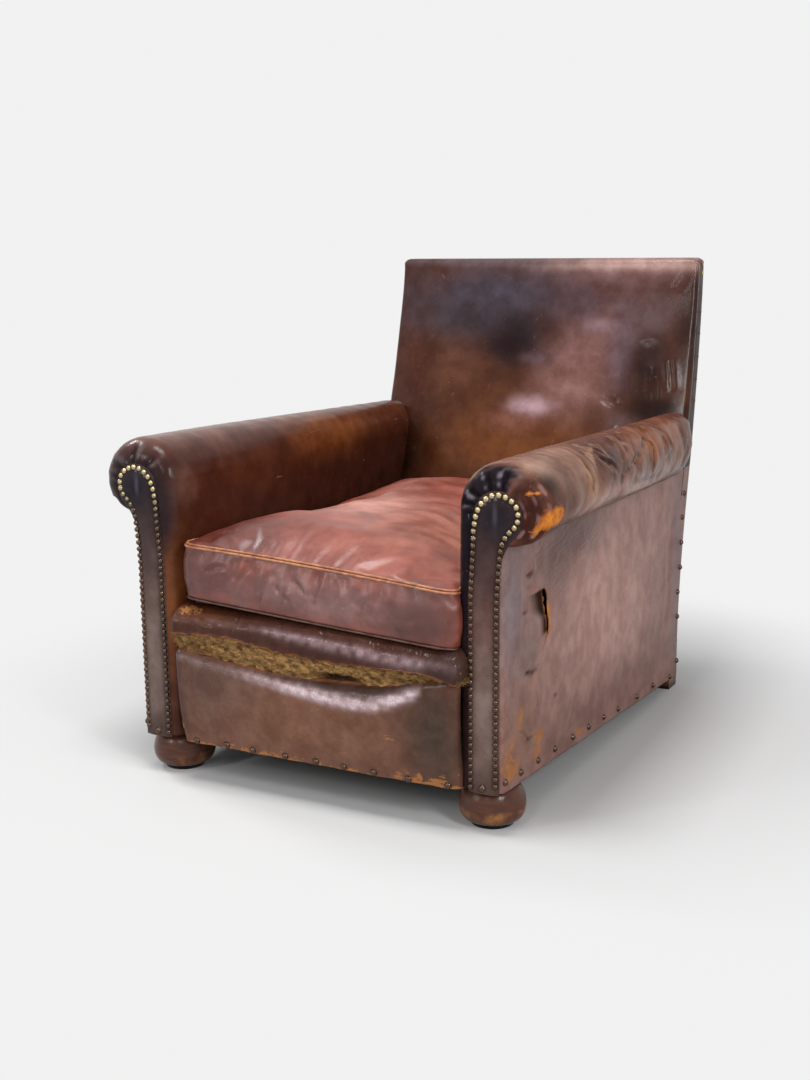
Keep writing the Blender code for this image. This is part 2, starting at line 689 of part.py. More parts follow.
def arm_space(side):
    """The room that an arm takes out of the back, a millimetre larger than the arm and longer than it."""
    rings = []
    for y in (0.60, 0.75, 0.86, 1.0):
        outline = arm_section(min(y, 0.86), inset=-0.001, foot=0.10)[:11]
        outline = np.concatenate([outline, [(0.45, outline[-1][1]), (0.45, 0.10)]])
        rings.append(np.stack([outline[:, 0], np.full(len(outline), y), outline[:, 1]], 1))
    mesh = loft(rings, closed=True)
    return cutter(f"arm_space_{side}", mesh if side == "right" else mirrored(mesh))


def build_back():
    spaces = [arm_space(side) for side in ("left", "right")]
    half = BODY_HALF
    rings = []
    for z in (*BACK_HEIGHTS, HEIGHT - 0.008):
        row = [(x * half, back_face(x * half, z), z) for x in BACK_COLUMNS]
        back = line_at(REAR_LINE, z) - UNDER_LEATHER
        rings.append([(-half, back, z), *row, (half, back, z)])
    brow = [(x, y + 0.0025 if abs(x) < half else y, HEIGHT - 0.002) for x, y, z in rings[-1]]
    edge = float(back_edge(HEIGHT))
    ridge = [(x, max(y, edge + 0.006), HEIGHT) for x, y, z in brow]
    last = brow[0][1]
    rings += [brow, ridge, [(x, last, HEIGHT) for x, y, z in ridge]]
    hood = piece("inside_back_leather", narrowed(loft(rings)), "leather")
    solidify(hood, LEATHER, -1)
    cut(hood, *spaces)
    half = BODY_HALF - PAD_INSET
    solid = []
    for z in (BACK_FOOT + 0.002, *BACK_HEIGHTS[1:], 0.779, HEIGHT - PAD_INSET - 0.004):
        face = [(x * half, back_face(x * half, z) + PAD_INSET, z) for x in BACK_COLUMNS]
        rear = line_at(POST_FRONT, z) - GAP - WEB_THICK - PAD_AIR
        solid.append(face + [(half, rear, z), (-half, rear, z)])
    stuffing = piece("back_stuffing", narrowed(loft(solid, closed=True)), "horsehair")
    cut(stuffing, *spaces)
    sheet = []
    for z in (SKIRT - SEAT_DROP * 0.826, 0.13, 0.25, 0.41, 0.54, HEIGHT - 0.0006):
        y = float(line_at(REAR_LINE, z))
        sheet.append([(-BODY_HALF, y, z), (-0.15, y, z), (0.15, y, z), (BODY_HALF, y, z)])
    outside = piece("outside_back_leather", narrowed(loft(sheet)), "leather")
    solidify(outside, LEATHER, 1)


# ---------------------------------------------------------------- loose cushion


def rounded_rectangle(half, front, back, corner, grow=0.0, steps=4):
    """Plan of the cushion as (x, y), anticlockwise from its front right corner."""
    half, front, back, corner = half + grow, front - grow, back + grow, corner + grow
    centres = [(half - corner, front + corner, -90), (half - corner, back - corner, 0)]
    centres += [(corner - half, back - corner, 90), (corner - half, front + corner, 180)]
    points = []
    for x, y, start in centres:
        for angle in np.radians(np.linspace(start, start + 90, steps + 1)):
            points.append((x + corner * math.cos(angle), y + corner * math.sin(angle)))
    return np.array(points)


def build_cushion():
    plan = rounded_rectangle(CUSHION_HALF, CUSHION_FRONT, CUSHION_BACK, CUSHION_CORNER)
    centre = np.array([0.0, (CUSHION_FRONT + CUSHION_BACK) / 2])
    rings = []
    middle = (CUSHION_BOTTOM + CUSHION_EDGE) / 2
    crown = CUSHION_CROWN - CUSHION_EDGE
    levels = [(0.965, CUSHION_BOTTOM), (SEAM_PART, CUSHION_BOTTOM + SEAM_RISE)]
    levels += [(1.0, middle), (SEAM_PART, CUSHION_EDGE)]
    levels += [(part, CUSHION_EDGE + crown * (1 - part**2.6)) for part in (0.93, 0.78, 0.55, 0.28)]
    for part, z in levels:
        flat = centre + (plan - centre) * part
        rings.append(np.column_stack([flat, np.full(len(flat), z)]))
    mesh = settle(loft(rings, closed=True), twist=SEAT_TWIST)
    piece("seat_cushion", mesh, "cushion")
    seams = (("top", CUSHION_EDGE + 0.0012), ("bottom", CUSHION_BOTTOM + SEAM_RISE - 0.0010))
    for edge, level in seams:
        route = centre + (plan - centre) * SEAM_PART
        grown = rounded_rectangle(CUSHION_HALF, CUSHION_FRONT, CUSHION_BACK, CUSHION_CORNER, PIPING)
        route = route + (grown - plan)
        points = np.column_stack([route, np.full(len(route), level)])
        ring = settle(tube(points, PIPING, closed=True), twist=SEAT_TWIST)
        piece(f"cushion_piping_{edge}", ring, "piping")


build_frame()
build_feet()
build_webbing()
build_springs()
build_deck()
build_arms()
build_front()
build_back()
build_cushion()
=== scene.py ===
"""The looks of a worn leather club chair, built round its CAD model piece by piece.

Metres, +X to the right seen from the front, +Y towards the back, +Z up. The nailed fronts of the arms lie in
one upright plane, FACE_Y, and lengths along the chair are measured back from it.
"""

import math

import bmesh
import bpy
import numpy as np
from mathutils import Matrix, Vector


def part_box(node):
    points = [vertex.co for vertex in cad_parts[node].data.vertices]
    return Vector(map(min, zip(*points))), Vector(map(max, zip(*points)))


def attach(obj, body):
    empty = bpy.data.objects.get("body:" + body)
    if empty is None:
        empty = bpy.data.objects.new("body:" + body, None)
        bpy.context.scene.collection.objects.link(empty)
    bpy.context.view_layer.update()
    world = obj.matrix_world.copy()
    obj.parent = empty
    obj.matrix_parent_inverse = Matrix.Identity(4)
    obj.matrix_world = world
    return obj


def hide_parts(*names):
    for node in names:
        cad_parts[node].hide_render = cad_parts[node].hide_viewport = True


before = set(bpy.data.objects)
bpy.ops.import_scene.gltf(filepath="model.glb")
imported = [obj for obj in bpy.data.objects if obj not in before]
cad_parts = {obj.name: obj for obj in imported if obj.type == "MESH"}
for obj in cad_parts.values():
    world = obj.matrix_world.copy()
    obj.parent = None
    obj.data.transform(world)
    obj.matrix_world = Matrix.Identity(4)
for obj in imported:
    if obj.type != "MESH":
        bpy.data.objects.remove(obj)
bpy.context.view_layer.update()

# ------------------------------------------------------------------ the beech frame
# Rails, arm posts and corner blocks are sawn beech, dowelled and glued. The covers hide all of it, so the CAD
# pieces keep their shape and only get their wood.


class Finish:
    """A material as it is put together: a call adds a node, links what it is given and returns an output."""

    def __init__(self, name):
        self.material = bpy.data.materials.new(name)
        self.material.use_nodes = True
        self.tree = self.material.node_tree
        self.shader = self.tree.nodes["Principled BSDF"]
        self.place = self.add("TexCoord", "Object")

    def put(self, socket, value):
        """Links an output to a socket, or sets the socket's own value; a text is a colour code."""
        if isinstance(value, bpy.types.NodeSocket):
            self.tree.links.new(value, socket)
        else:
            socket.default_value = shade(value) if isinstance(value, str) else value

    def add(self, kind, output, inputs=None, **settings):
        made = self.tree.nodes.new("ShaderNode" + kind)
        for key, value in settings.items():
            setattr(made, key, value)
        for key, value in (inputs or {}).items():
            self.put(made.inputs[key], value)
        return made.outputs[output]

    def noise(self, scale, detail=4.0, roughness=0.55, stretch=None, distortion=0.0):
        place = self.place
        if stretch:
            place = self.add("Mapping", 0, {"Vector": place, "Scale": stretch})
        settings = {"Vector": place, "Scale": scale, "Detail": detail}
        return self.add("TexNoise", 0, {**settings, "Roughness": roughness, "Distortion": distortion})

    def cells(self, scale, feature="F1", place=None):
        inputs = {"Vector": place or self.place, "Scale": scale}
        return self.add("TexVoronoi", "Distance", inputs, feature=feature)

    def painted(self, name, output="Fac"):
        return self.add("Attribute", output, attribute_name=name)

    def ramp(self, value, low, high, to_low=0.0, to_high=1.0):
        """Carries value from low..high to to_low..to_high along a smooth step."""
        inputs = {"Value": value, "From Min": low, "From Max": high, "To Min": to_low, "To Max": to_high}
        return self.add("MapRange", 0, inputs, interpolation_type="SMOOTHSTEP")

    def maths(self, operation, first, second=0.5):
        return self.add("Math", 0, {0: first, 1: second}, operation=operation)

    def times(self, first, second):
        return self.maths("MULTIPLY", first, second)

    def plus(self, first, second):
        return self.maths("ADD", first, second)

    def mix(self, share, low, high, mode="MIX"):
        inputs = {0: share, 6: low, 7: high}
        return self.add("Mix", 2, inputs, data_type="RGBA", blend_type=mode)

    def warped(self, amount):
        """Object coordinates pushed about by noise, so that cells laid on them have crooked edges."""
        push = self.add("TexNoise", 1, {"Vector": self.place, "Scale": 45.0, "Detail": 3.0})
        push = self.add("VectorMath", 0, {0: push, 1: (0.5, 0.5, 0.5)}, operation="SUBTRACT")
        push = self.add("VectorMath", 0, {0: push, "Scale": amount}, operation="SCALE")
        return self.add("VectorMath", 0, {0: self.place, 1: push}, operation="ADD")

    def bump(self, height, distance, strength=1.0, below=None):
        inputs = {"Height": height, "Distance": distance, "Strength": strength}
        if below is not None:
            inputs["Normal"] = below
        return self.add("Bump", 0, inputs)

    def finish(self, colour, roughness, normal=None, **fixed):
        self.put(self.shader.inputs["Base Color"], colour)
        self.put(self.shader.inputs["Roughness"], roughness)
        if normal is not None:
            self.put(self.shader.inputs["Normal"], normal)
        for name, value in fixed.items():
            self.put(self.shader.inputs[name.replace("_", " ")], value)
        return self.material


def shade(code):
    """The linear colour of a six-figure sRGB code."""
    values = [int(code[i : i + 2], 16) / 255 for i in (0, 2, 4)]
    return tuple(((v + 0.055) / 1.055) ** 2.4 if v > 0.04045 else v / 12.92 for v in values) + (1.0,)


def refinish(nodes, material):
    """Gives CAD pieces that keep their shape a better material."""
    for name in nodes:
        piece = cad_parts[name]
        piece.material_slots[0].material = material


def sawn_beech(name, along):
    """Pale beech: grain stretched along one axis, with short dark flecks across it."""
    wood = Finish(name)
    grain = wood.noise(60, 5, stretch=[0.06 if axis == along else 1.0 for axis in "xyz"])
    fleck = wood.noise(420, 2, stretch=[0.2 if axis == along else 1.0 for axis in "xyz"])
    colour = wood.mix(grain, "a97f52", "c9a679")
    colour = wood.mix(wood.ramp(fleck, 0.62, 0.72), colour, "8a6238")
    return wood.finish(colour, 0.62, wood.bump(grain, 0.0004))


for along, nodes in (
    ("x", ["front_rail", "rear_rail", "back_lower_rail", "back_top_rail"]),
    ("y", ["side_rail_left", "side_rail_right", "arm_rail_left", "arm_rail_right"]),
    ("z", ["arm_post_left", "arm_post_right"]),
    ("x", ["corner_block_front_left", "corner_block_front_right"]),
    ("x", ["corner_block_rear_left", "corner_block_rear_right"]),
):
    refinish(nodes, sawn_beech(f"beech_{nodes[0]}", along))

# ------------------------------------------------------------------ feet and rear legs
# Flattened bun feet, each turned in one piece, stained dark and rubbed to tan where shoes and brooms catch
# them. The rear legs are the plain lower ends of the back posts, in the same stain.


def grid_mesh(name, points, wrap=False, flip=False, paints=None):
    """Joins a (rows, columns, 3) array into quads; wrap closes each row, and flip turns the faces over.

    paints holds values for each point by attribute name: one number, or the four of a colour.
    """
    rows, columns = points.shape[:2]
    index = np.arange(rows * columns).reshape(rows, columns)
    if wrap:
        index = np.column_stack([index, index[:, :1]])
    quads = np.stack([index[:-1, :-1], index[:-1, 1:], index[1:, 1:], index[1:, :-1]], -1).reshape(-1, 4)
    mesh = bpy.data.meshes.new(name)
    mesh.from_pydata(points.reshape(-1, 3).tolist(), [], (quads[:, ::-1] if flip else quads).tolist())
    for key, values in (paints or {}).items():
        values = np.asarray(values, np.float32)
        if values.ndim == points.ndim:
            mesh.attributes.new(key, "FLOAT_COLOR", "POINT").data.foreach_set("color", values.ravel())
        else:
            values = np.broadcast_to(values, points.shape[:2])
            mesh.attributes.new(key, "FLOAT", "POINT").data.foreach_set("value", values.ravel())
    return mesh


def joined(name, meshes, distance=0.0, outwards=False):
    """One mesh of several: points closer than distance are merged, and faces may be turned outwards."""
    shape = bmesh.new()
    for mesh in meshes:
        shape.from_mesh(mesh)
    if distance:
        bmesh.ops.remove_doubles(shape, verts=shape.verts, dist=distance)
    if outwards:
        bmesh.ops.recalc_face_normals(shape, faces=shape.faces)
    made = bpy.data.meshes.new(name)
    shape.to_mesh(made)
    shape.free()
    return made


def rim(grid):
    """The outermost places of a grid as one loop, from the front left corner round by the right."""
    return np.concatenate([grid[0], grid[1:, -1], grid[-1, -2::-1], grid[-2:0:-1, 0]])


def closed_box(name, top, under, side):
    """A closed mesh of a top grid, a lower grid and the loops of a side between their rims."""
    faces = grid_mesh("top", top), grid_mesh("under", under, flip=True), grid_mesh("side", side, wrap=True)
    return joined(name, faces, 1e-5)


def weld(mesh, distance=1e-5):
    """Merges points that meet, such as those at a pole, and drops faces that this leaves with no area."""
    shape = bmesh.new()
    shape.from_mesh(mesh)
    bmesh.ops.remove_doubles(shape, verts=shape.verts, dist=distance)
    bmesh.ops.dissolve_degenerate(shape, edges=shape.edges, dist=distance / 2)
    shape.to_mesh(mesh)
    shape.free()
    return mesh


def piece(name, mesh, material, slot, replaces=(), thickness=0.0):
    """Puts a finished mesh in the scene, on the chair's one body; thickness is given behind its faces."""
    made = bpy.data.objects.new(name, mesh)
    bpy.context.scene.collection.objects.link(made)
    mesh.materials.append(material)
    mesh.shade_smooth()
    if thickness:
        wall = made.modifiers.new("thickness", "SOLIDIFY")
        wall.thickness = thickness
        wall.offset = -1.0
    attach(made, "root")
    if replaces:
        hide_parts(*replaces)
    return made


def polished_wood():
    """Dark stain over brown wood, rubbed through to tan in soft patches low on the piece, and painted near black
    at its base as a contact shadow.
    """
    wood = Finish("stained_wood")
    grain = wood.noise(40, 6, stretch=(1, 1, 5))
    patch = wood.noise(24, 5, 0.6)
    height = wood.add("SeparateXYZ", 2, {0: wood.place})
    low = wood.times(wood.ramp(height, 0.006, 0.014), wood.ramp(height, 0.050, 0.026))
    colour = wood.mix(grain, "2c1810", "6a4030")
    rubbed = wood.ramp(wood.times(patch, low), 0.42, 0.72)
    tan = wood.mix(wood.noise(160, 4), "8a5528", "b9824a")
    colour = wood.mix(wood.times(rubbed, 0.85), colour, tan)
    # Painted contact shadow: near black in the last few millimetres above the floor.
    colour = wood.mix(wood.ramp(height, 0.0075, 0.0050), colour, "120b08")
    rough = wood.ramp(patch, 0.3, 0.75, 0.16, 0.34)
    return wood.finish(colour, rough, wood.bump(wood.noise(300, 3), 0.0003), Specular_IOR_Level=0.25)


def foot_profile(radius, top, ground):
    """Bun in section as (radius, height): an arc from neck to widest ring, and one to the short base."""
    neck, middle, sole = radius - 0.017, ground + 0.029, 0.032
    upper = np.radians(np.linspace(88, 0, 26))
    lower = np.radians(np.linspace(0, -90, 26))[1:]
    stem = np.array([(0.0, top), (neck * 0.98, top), (neck, top - 0.002)])
    bun = np.stack([neck + (radius - neck) * np.cos(upper), middle + 0.0335 * np.sin(upper)], 1)
    base = np.stack([sole + (radius - sole) * np.cos(lower), middle + 0.0225 * np.sin(lower)], 1)
    return np.concatenate([stem, bun, base, [(sole, ground + 0.0005), (sole - 0.001, ground), (0.0, ground)]])


stained = polished_wood()
for side in ("left", "right"):
    low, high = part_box(f"front_foot_{side}")
    centre, radius = (low + high) / 2, (high.x - low.x) / 2
    profile = foot_profile(radius, low.z + 0.0662, low.z)
    turn = np.linspace(0, 2 * math.pi, 97)[:-1]
    ring = np.stack([np.cos(turn), np.sin(turn), np.zeros(96)], -1)
    points = profile[:, None, :1] * ring + profile[:, None, 1:] * (0, 0, 1) + (centre.x, centre.y, 0)
    bun = weld(grid_mesh(f"bun_foot_{side}", points, wrap=True, flip=True))
    piece(f"bun_foot_{side}", bun, stained, "stained_wood", [f"front_foot_{side}"])
refinish(["rear_leg_post_left", "rear_leg_post_right"], stained)

# ------------------------------------------------------------------ webs and springs
# Jute webs are woven over and under and tacked to the rails; waisted coils stand on their crossings.


def jute():
    """Plain weave: two fine waves across each other, over an uneven straw brown."""
    cloth = Finish("jute")
    warp = cloth.add("TexWave", 1, {"Vector": cloth.place, "Scale": 130.0, "Distortion": 0.6})
    weft = cloth.add("TexWave", 1, {"Vector": cloth.place, "Scale": 130.0}, bands_direction="Y")
    weave = cloth.maths("MAXIMUM", warp, weft)
    colour = cloth.mix(cloth.noise(30, 5), "7d6646", "a68d66")
    colour = cloth.mix(weave, cloth.mix(1.0, colour, "8c8078", "MULTIPLY"), colour)
    return cloth.finish(colour, 0.9, cloth.bump(weave, 0.0005))


def copper_washed_wire():
    """Dull steel wire with a thin copper wash, rusted in spots."""
    wire = Finish("spring_wire")
    rust = wire.ramp(wire.noise(70, 5), 0.5, 0.62)
    colour = wire.mix(rust, "6e5a4c", "5a2f1a")
    return wire.finish(colour, wire.ramp(rust, 0, 1, 0.38, 0.8), Metallic=0.85)


webbing = jute()
webs = [f"seat_web_{way}_{number}" for way in ("long", "cross") for number in (1, 2, 3)]
refinish(webs + [f"back_web_{number}" for number in (1, 2, 3)], webbing)
refinish([f"seat_spring_{number}" for number in range(1, 10)], copper_washed_wire())

# ------------------------------------------------------------------ seat: canvas, hair and platform cover
# Canvas lies over the springs, a pad of curled hair on it, and a dark lining cloth over the pad. The worn
# springs have settled towards the back and the right, so each layer slopes with them.


def unevenness(points, size, seed):
    """Soft bumps from about -1 to 1: the sum of six sine waves about size long, set by seed."""
    draw = np.random.default_rng(seed)
    ways = draw.normal(size=(6, 3))
    ways /= np.linalg.norm(ways, axis=1, keepdims=True)
    lengths = size * draw.uniform(0.6, 1.6, 6)
    starts = draw.uniform(0, 2 * math.pi, 6)
    return np.sin(points @ (2 * math.pi * ways / lengths[:, None]).T + starts).mean(-1) * 1.7


def slab_top(node, rows=90, columns=60):
    """Level grid over the top of a sloping CAD slab, as (x, y, z), and the slab's thickness at its edge."""
    corners = np.array([v.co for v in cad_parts[node].data.vertices])
    low, high = corners.min(0), corners.max(0)
    x, y = np.meshgrid(np.linspace(low[0], high[0], columns), np.linspace(low[1], high[1], rows))
    flat = np.column_stack([corners[:, :2], np.ones(len(corners))])
    middle = np.linalg.lstsq(flat, corners[:, 2], rcond=None)[0]
    lift = np.abs(corners[:, 2] - flat @ middle).mean()
    return np.stack([x, y, x * middle[0] + y * middle[1] + middle[2] + lift], -1), 2 * lift


def lining():
    """Thin black lining cloth, faded in patches, with a fine weave."""
    cloth = Finish("lining_cloth")
    weave = cloth.add("TexWave", 1, {"Vector": cloth.place, "Scale": 260.0, "Distortion": 0.4})
    colour = cloth.mix(cloth.noise(14, 5), "1d1a19", "3a332e")
    return cloth.finish(colour, 0.95, cloth.bump(weave, 0.0003))


def curled_hair():
    """A mat of dark curled hair: crossed, distorted streaks."""
    hair = Finish("curled_hair")
    curl = hair.noise(120, 6, 0.7, distortion=2.5)
    colour = hair.mix(curl, "1c130e", "5b4330")
    return hair.finish(colour, 0.95, hair.bump(curl, 0.002))


black_lining = lining()
hair = curled_hair()
points, _ = slab_top("spring_canvas")
points[..., 2] += 0.0012 * unevenness(points, 0.15, 1) - 0.0012
canvas = piece(
    "seat_hessian", grid_mesh("seat_hessian", points), webbing, "jute_webbing", ["spring_canvas"], 0.001
)

points, deep = slab_top("seat_stuffing")
edge = np.minimum(1, 12 * np.minimum(np.linspace(0, 1, 90), np.linspace(1, 0, 90)))[:, None]
edge = edge * np.minimum(1, 8 * np.minimum(np.linspace(0, 1, 60), np.linspace(1, 0, 60)))[None]
top = points.copy()
top[..., 2] -= 0.010 * (1 - edge) ** 2 + 0.0015 * (1 + unevenness(points, 0.06, 2))
under = points - (0, 0, deep)
pad = closed_box("hair_pad", top, under, np.array([rim(under), rim(top)]))
piece("seat_hair_pad", pad, hair, "horsehair", ["seat_stuffing"])

points, _ = slab_top("seat_platform_cover")
points[..., 2] -= 0.0006 * (1 + unevenness(points, 0.09, 3))
cover = grid_mesh("platform_cover", points)
platform = piece("platform_cover", cover, black_lining, "lining_cloth", ["seat_platform_cover"], 0.0008)

# ------------------------------------------------------------------ arm covers
# One hide a side, drawn over the stuffed arm roll, round the arm's front edge in pleats, and tacked on the
# front. The left one is smooth and polished by hands; the right one is slack, creased and rubbed grey.

SIDES = (("left", -1), ("right", 1))
FACE_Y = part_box("facing_right")[1].y
ARM_LOW, ARM_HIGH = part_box("arm_leather_right")
HEAD_RADIUS = 0.0375  # of the scroll on the arm post
HEAD_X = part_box("facing_right")[1].x - HEAD_RADIUS
HEAD_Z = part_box("facing_right")[1].z - HEAD_RADIUS
PANEL_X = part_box("outside_arm_leather_right")[1].x
ARM_ROUND = 0.0347  # radius of the stuffed front edge
REAR_FROM, REAR_TO = 0.75, 0.85  # where the roll turns in against the back
WALL, OVER = 0.36, 0.84  # shares of a section on the inner wall, and up to the roll's outermost line


def arm_loop(share, foot_x, inner, middle, outer, centre, up, down, foot, end_x=None):
    """Section of an arm as (x, z), for share from 0 to 1.

    Up the inner wall from foot to centre, over the roll as half an ellipse, then in under it to end_x.
    """
    z_wall = foot + (centre - foot) * np.clip(share / WALL, 0, 1)
    x_wall = foot_x + (inner - foot_x) * np.clip((z_wall - 0.35) / (centre - 0.35), 0, 1)
    turn = math.pi * (1 - np.clip((share - WALL) / (OVER - WALL), 0, 1))
    reach = np.where(np.cos(turn) < 0, middle - inner, outer - middle)
    last = -1.5 if end_x is None else -np.arccos((end_x - middle) / (outer - middle))
    under = last * np.clip((share - OVER) / (1 - OVER), 0, 1)
    x_under, z_under = middle + (outer - middle) * np.cos(under), centre + down * np.sin(under)
    x = np.where(share < WALL, x_wall, np.where(share < OVER, middle + reach * np.cos(turn), x_under))
    z = np.where(share < WALL, z_wall, np.where(share < OVER, centre + up * np.sin(turn), z_under))
    return np.stack([x, z], -1)


def roll_centre(back):
    """Height of the roll's widest line, which falls evenly towards the back."""
    return HEAD_Z + 0.009 - 0.021 * back


def arm_section(share, back, foot=0.185):
    """Section of the arm at a distance back from its front: the roll gets lower and narrower."""
    along = back / 0.86
    inner = ARM_LOW.x + 0.007 * along
    outer = ARM_HIGH.x - 0.055 * along**2
    centre = roll_centre(back)
    up = 0.0695 - 0.009 * back - 0.002 * bell(back / 0.12)
    down = 0.0450 + 0.008 * bell((back - 0.03) / 0.04) + 0.018 * back**2
    middle, end_x = 0.313 - 0.018 * along**2, PANEL_X - 0.0007
    return arm_loop(share, inner, inner, middle, outer, centre, up, down, foot, end_x)


def arm_grid(columns=171, long_rows=200):
    """The right arm's cover: rows run back along the arm, columns round its section.

    The front is a flat band from the nails to the head's rim, then a quarter round that starts across the
    band and ends along the arm; the rear end closes on the slope of the back in another quarter round.
    """
    share = np.linspace(0, 1, columns)[None]
    low = ARM_LOW.z
    tacked = arm_loop(share, 0.2715, 0.281, HEAD_X, 0.341, HEAD_Z, 0.030, 0.030, low)
    head = arm_loop(share, 0.262, 0.2715, HEAD_X, 0.3505, HEAD_Z, 0.0395, 0.0395, low)
    band = tacked + (head - tacked) * np.linspace(0, 1, 8)[:, None, None]
    turn = np.radians(np.linspace(0, 90, 26))[1:, None]
    full = arm_section(share, ARM_ROUND, low)
    quarter = head + (full - head) * np.sin(turn)[..., None]
    back = np.linspace(ARM_ROUND, REAR_FROM, long_rows)[1:, None]
    long = arm_section(share, back)
    close = np.radians(np.linspace(0, 90, 36))[1:, None]
    last, rear = arm_section(share, REAR_FROM), arm_section(share, REAR_TO)
    pinched = rear.copy()
    pinched[..., 0] = np.minimum(rear[..., 0], PANEL_X)
    pinched[..., 1] = HEAD_Z - 0.012 + (rear[..., 1] - HEAD_Z + 0.012) * 0.86
    end = last + (pinched - last) * (1 - np.cos(close))[..., None]
    slope = 0.824 + 0.3667 * (end[..., 1] - 0.41)
    y_end = REAR_FROM + (slope - REAR_FROM) * np.sin(close)
    y = np.concatenate(
        [
            np.zeros((8, columns)),
            np.broadcast_to(ARM_ROUND * (1 - np.cos(turn)), (25, columns)),
            np.broadcast_to(back, (long_rows - 1, columns)),
            y_end,
        ]
    )
    flat = np.concatenate([band, quarter, long, end])
    return np.stack([flat[..., 0], FACE_Y + y, flat[..., 1]], -1)


def unit(ways):
    """Directions brought to length 1."""
    return ways / np.maximum(np.linalg.norm(ways, axis=-1, keepdims=True), 1e-9)


def normals(points):
    """Unit normal at each point of a grid: the cross product of its steps along a row and down a column."""
    return unit(np.cross(np.gradient(points, axis=1), np.gradient(points, axis=0)))


def distance_to(places, route):
    """Distance of each place to a route of straight runs, and the share of the route run so far."""
    best = np.full(places.shape[:-1], 1e9)
    run = np.zeros(places.shape[:-1])
    route = np.asarray(route, float)
    for number, (start, end) in enumerate(zip(route[:-1], route[1:])):
        step = end - start
        part = np.clip((places - start) @ step / (step @ step), 0, 1)
        away = np.linalg.norm(places - start - part[..., None] * step, axis=-1)
        run = np.where(away < best, (number + part) / (len(route) - 1), run)
        best = np.minimum(best, away)
    return best, run


def creases(places, routes):
    """Height of creases drawn as routes, and the distance to the nearest.

    Each is a valley between two soft lips, a Gaussian across its route, which is (points, width, depth). It
    fades in and out over its ends.
    """
    height = np.zeros(places.shape[:-1])
    nearest = np.full(places.shape[:-1], 0.05)
    for route, width, depth in routes:
        away, run = distance_to(places, route)
        fade = np.clip(6 * np.minimum(run, 1 - run), 0.0, 1) ** 0.7
        valley = bell(away / width)
        lips = bell((away - 2 * width) / (1.2 * width))
        height += depth * fade * (0.45 * lips - valley)
        nearest = np.minimum(nearest, away + 0.012 * (1 - fade))
    return height, nearest


def stain(points, ground, patches, seed=0, ragged=0.35):
    """Colour of each point: ground, with patches laid over it in turn: stains and wear, and on some pieces
    painted highlight and shade.

    A patch is its centre (across, back from FACE_Y, up), its reach on each axis, its colour and its strength.
    It fades as a Gaussian of the distance over the reach, and unevenness makes its edge ragged.
    """
    colour = np.broadcast_to(np.array(shade(ground)), points.shape[:-1] + (4,)).copy()
    rag = ragged * (unevenness(points, 0.09, seed) + 0.6 * unevenness(points, 0.035, seed + 1))
    for x, back, z, wide, deep, high, code, strength in patches:
        far = (((points - (x, FACE_Y + back, z)) / (wide, deep, high)) ** 2).sum(-1)
        lay(colour, code, strength * np.exp(-np.maximum(0, far * (1 + rag)) ** 1.2))
    return colour


def lay(tone, code, share):
    """Lays a colour over each point's tone, by a share of its own."""
    tone += (np.array(shade(code)) - tone) * share[..., None]


def bell(distance):
    """1 at no distance, falling as a Gaussian whose reach is 1."""
    return np.exp(-(distance**2))


def spot(points, centre, reach):
    """Soft round spot: a Gaussian of the distance from its centre, with a reach on each axis."""
    return np.exp(-(((points - centre) / reach) ** 2).sum(-1))


